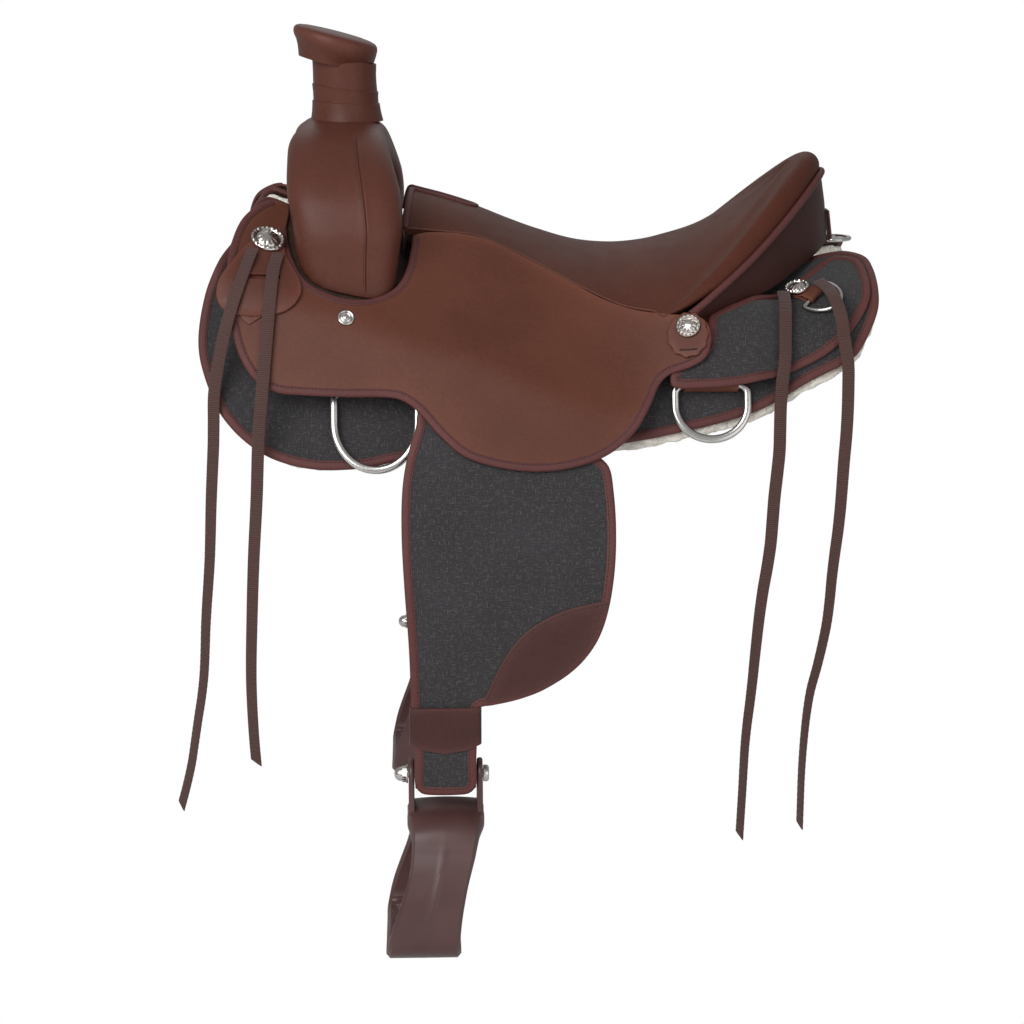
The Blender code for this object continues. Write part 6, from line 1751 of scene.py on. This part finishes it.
# %% Seat seams and the ears' binding
for word, side in SIDES:
    at = np.linspace(-0.55, 8.0, 90)
    line = (seat_top(at, np.ones(90)) + (0, 0.4 * MM, 0.2 * MM)) * (1, side, 1)
    places, faces = rope(line, 1.1 * MM, np.broadcast_to(Z, line.shape), sides=8)
    make(f"seat_seam_{word}", places, faces, HIDE, "saddle", sharp=80)
ear_front = seat_top(np.full(24, -0.6), np.linspace(1, first_share[0], 24))
ear_side = seat_top(index[:22], first_share[:22])
line = np.concatenate((ear_front[:-1], ear_side[:-1]))
line = np.concatenate((line, ear_side[-1:] * (1, 0, 1), line[::-1] * (1, -1, 1)))
line = curve(line, 240) + (0, 0, 0.2 * MM)
places, faces = rope(line, 3.4 * MM, np.broadcast_to(Z, line.shape), sides=12, squash=0.55)
make("ear_binding", places, faces, BINDING, "saddle", sharp=80)

# %% [markdown]
# Behind the cantle a small ring on each side takes a saddle bag, and one in the middle takes the crupper. Each
# sits in a folded leather tab. Ring and tab are placed from the joint's own pin, so that the ring turns inside the
# tab, and the tab's laps ease over to the slope of the leather below.


# %% Small rings and tabs
def plate(name, path, half_width, thickness, middle, first, second, sideways, finish, stands_for):
    """A folded tab: a path in the plane of two directions, carried sideways."""
    line = curve(MM * np.array(path, float), 60)
    along = unit(np.gradient(line, axis=0))
    across = np.stack((-along[:, 1], along[:, 0]), axis=1)
    line = middle + line[:, :1] * first + line[:, 1:] * second
    normal = across[:, :1] * first + across[:, 1:] * second
    outline = strap_section(2 * half_width * MM, thickness * MM, 7)
    places = tube(line, np.broadcast_to(sideways, line.shape), normal, outline)
    wear = np.exp(-(half_width * MM - abs(np.broadcast_to(outline[:, 0], places.shape[:2]))) / (3 * MM))
    return make(name, places, tube_faces(60, len(outline), False), finish, "saddle",
                (stands_for,), places[..., :2], wear=wear)


for word, side in SIDES:
    lift = 5.1 + 3 + 1.35 + 0.8 + 3.1
    flat = MM * np.array(((265, -70), (266, -70), (265, -69)), float)
    places = on_barrel(flat, np.full(3, lift * MM), side)
    ahead, down = unit(places[1] - places[0]), unit(places[2] - places[0])
    outward = unit(np.cross(down, ahead)) * -side
    turn = math.radians(-49)
    first = unit(ahead * math.cos(turn) + down * math.sin(turn))
    second = np.cross(outward, first)
    bag_middle, way = places[0], (1 if side < 0 else -1)
    joint = next(joint for joint in frame["joints"] if joint["name"] == f"saddlebag_dee_lift_{word}")
    pin, along_pin = np.array(joint["pos_m"]), np.array(joint["axis"], float)
    along_pin = unit(along_pin * np.sign(along_pin @ first))
    pin_out = unit(outward - (outward @ along_pin) * along_pin)
    pin_second = np.cross(pin_out, along_pin)
    turns = np.radians(np.linspace(0, 180, 41))
    path = [(18 * math.cos(a), -way * (4 + 26 * math.sin(a))) for a in turns]
    path = [(18, 0), (18, -way * 2)] + path + [(-18, -way * 2), (-18, 0)]
    path = np.array(path + [(u, 0) for u in np.linspace(-14, 14, 8)])
    lean = -0.04 * abs(path[:, 1])
    line = pin + MM * (path[:, :1] * along_pin + path[:, 1:] * pin_second + lean[:, None] * pin_out)
    places, faces = rope(line, 2 * MM, np.broadcast_to(pin_out, line.shape), closed=True, sides=16)
    make(f"saddlebag_ring_{word}", places, faces, STAINLESS, f"saddlebag_dee_{word}",
         (f"saddlebag_dee_{word}",), sharp=80)
    plies = [(26, -1.15), (14, -1.15), (7, 2.3)] + sweep((0, 0), 3.1, 90, 270) + [(8, -3.1), (20, -3.1)]
    share = ease(3, 13, curve(np.array(plies, float), 60)[:, :1])
    plate(f"bag_tab_{word}", plies, 9, 1.6, pin * (1 - share) + bag_middle * share,
          way * (pin_second * (1 - share) + second * share), pin_out * (1 - share) + outward * share,
          along_pin * (1 - share) + first * share, HIDE, f"dee_tab_{word}")
    seat_of_disc = bag_middle + MM * (21 * way * second + (-3.1 + 2.4 + 2.7) * outward)
    fitting(f"rear_concho_silver_{word}", (seat_of_disc, first, second, outward), 12, domed(5), SILVER,
            "saddle", "engraved_silver", f"rear_concho_{word}", berries=16, petals=10)

# %% [markdown]
# The crupper ring hangs level behind the cantle, in a tab that comes down its back. The tab's path is drawn in
# the upright plane through the mule's spine, and carried sideways.

# %% Crupper ring and tab
base, up, outward, _, _ = cantle_frame(np.array((0.0,)))
lap = 3 + 1.6 + 0.35 + 1.1
upper = base[0] + 26 * MM * up[0] + lap * MM * outward[0]
lower = base[0] - 1 * MM * up[0] + lap * MM * outward[0]
hook = 3.5
crupper_middle = np.array((lower[0] - hook * MM, 0, lower[2] - 2 * MM))
print("crupper ring", crupper_middle.round(4))
path = [tuple((1000 * (place - crupper_middle))[[0, 2]]) for place in (upper, (upper + lower) / 2, lower)]
path += sweep((0, 0), hook, 0, -180)
plate("crupper_tab_leather", path, 12, 2.2, crupper_middle, X, Z, Y, HIDE, "crupper_tab")
turns = np.radians(np.linspace(-90, 90, 41))
path = [(0, -18), (4, -18)] + [(8 + 16 * math.cos(a), 18 * math.sin(a)) for a in turns] + [(4, 18), (0, 18)]
path = np.array(path + [(0, v) for v in np.linspace(14, -14, 8)])
line = crupper_middle + MM * (path[:, :1] * X + path[:, 1:] * Y)
places, faces = rope(line, 2 * MM, np.broadcast_to(Z, line.shape), closed=True, sides=16)
make("crupper_ring", places, faces, STAINLESS, "crupper_dee", ("crupper_dee",), sharp=80)

# %% [markdown]
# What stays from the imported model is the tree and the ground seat. Their shapes are right, and they are hidden
# for the most part, but the bars show under the fork. So they get timber, and the ground seat rough leather.

# %% Finishes of the hidden pieces
KEPT = {"tree_bar_near": TIMBER, "tree_bar_off": TIMBER, "tree_fork": TIMBER, "tree_horn": TIMBER,
        "tree_cantle": TIMBER, "ground_seat": ROUGH_HIDE}
for name, finish in KEPT.items():
    slots = frame["nodes"][name].data.materials
    for slot in range(len(slots)):
        slots[slot] = finish
print(len(KEPT), "pieces of the frame stay in view")

# %% [markdown]
# Last, the sizes of the imported frame and of the finished model are printed.

# %% Size and finish
model_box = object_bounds()
for title, box in (("frame", cad_box), ("model", model_box)):
    print(title, np.ptp(np.array(box), axis=0).round(4))
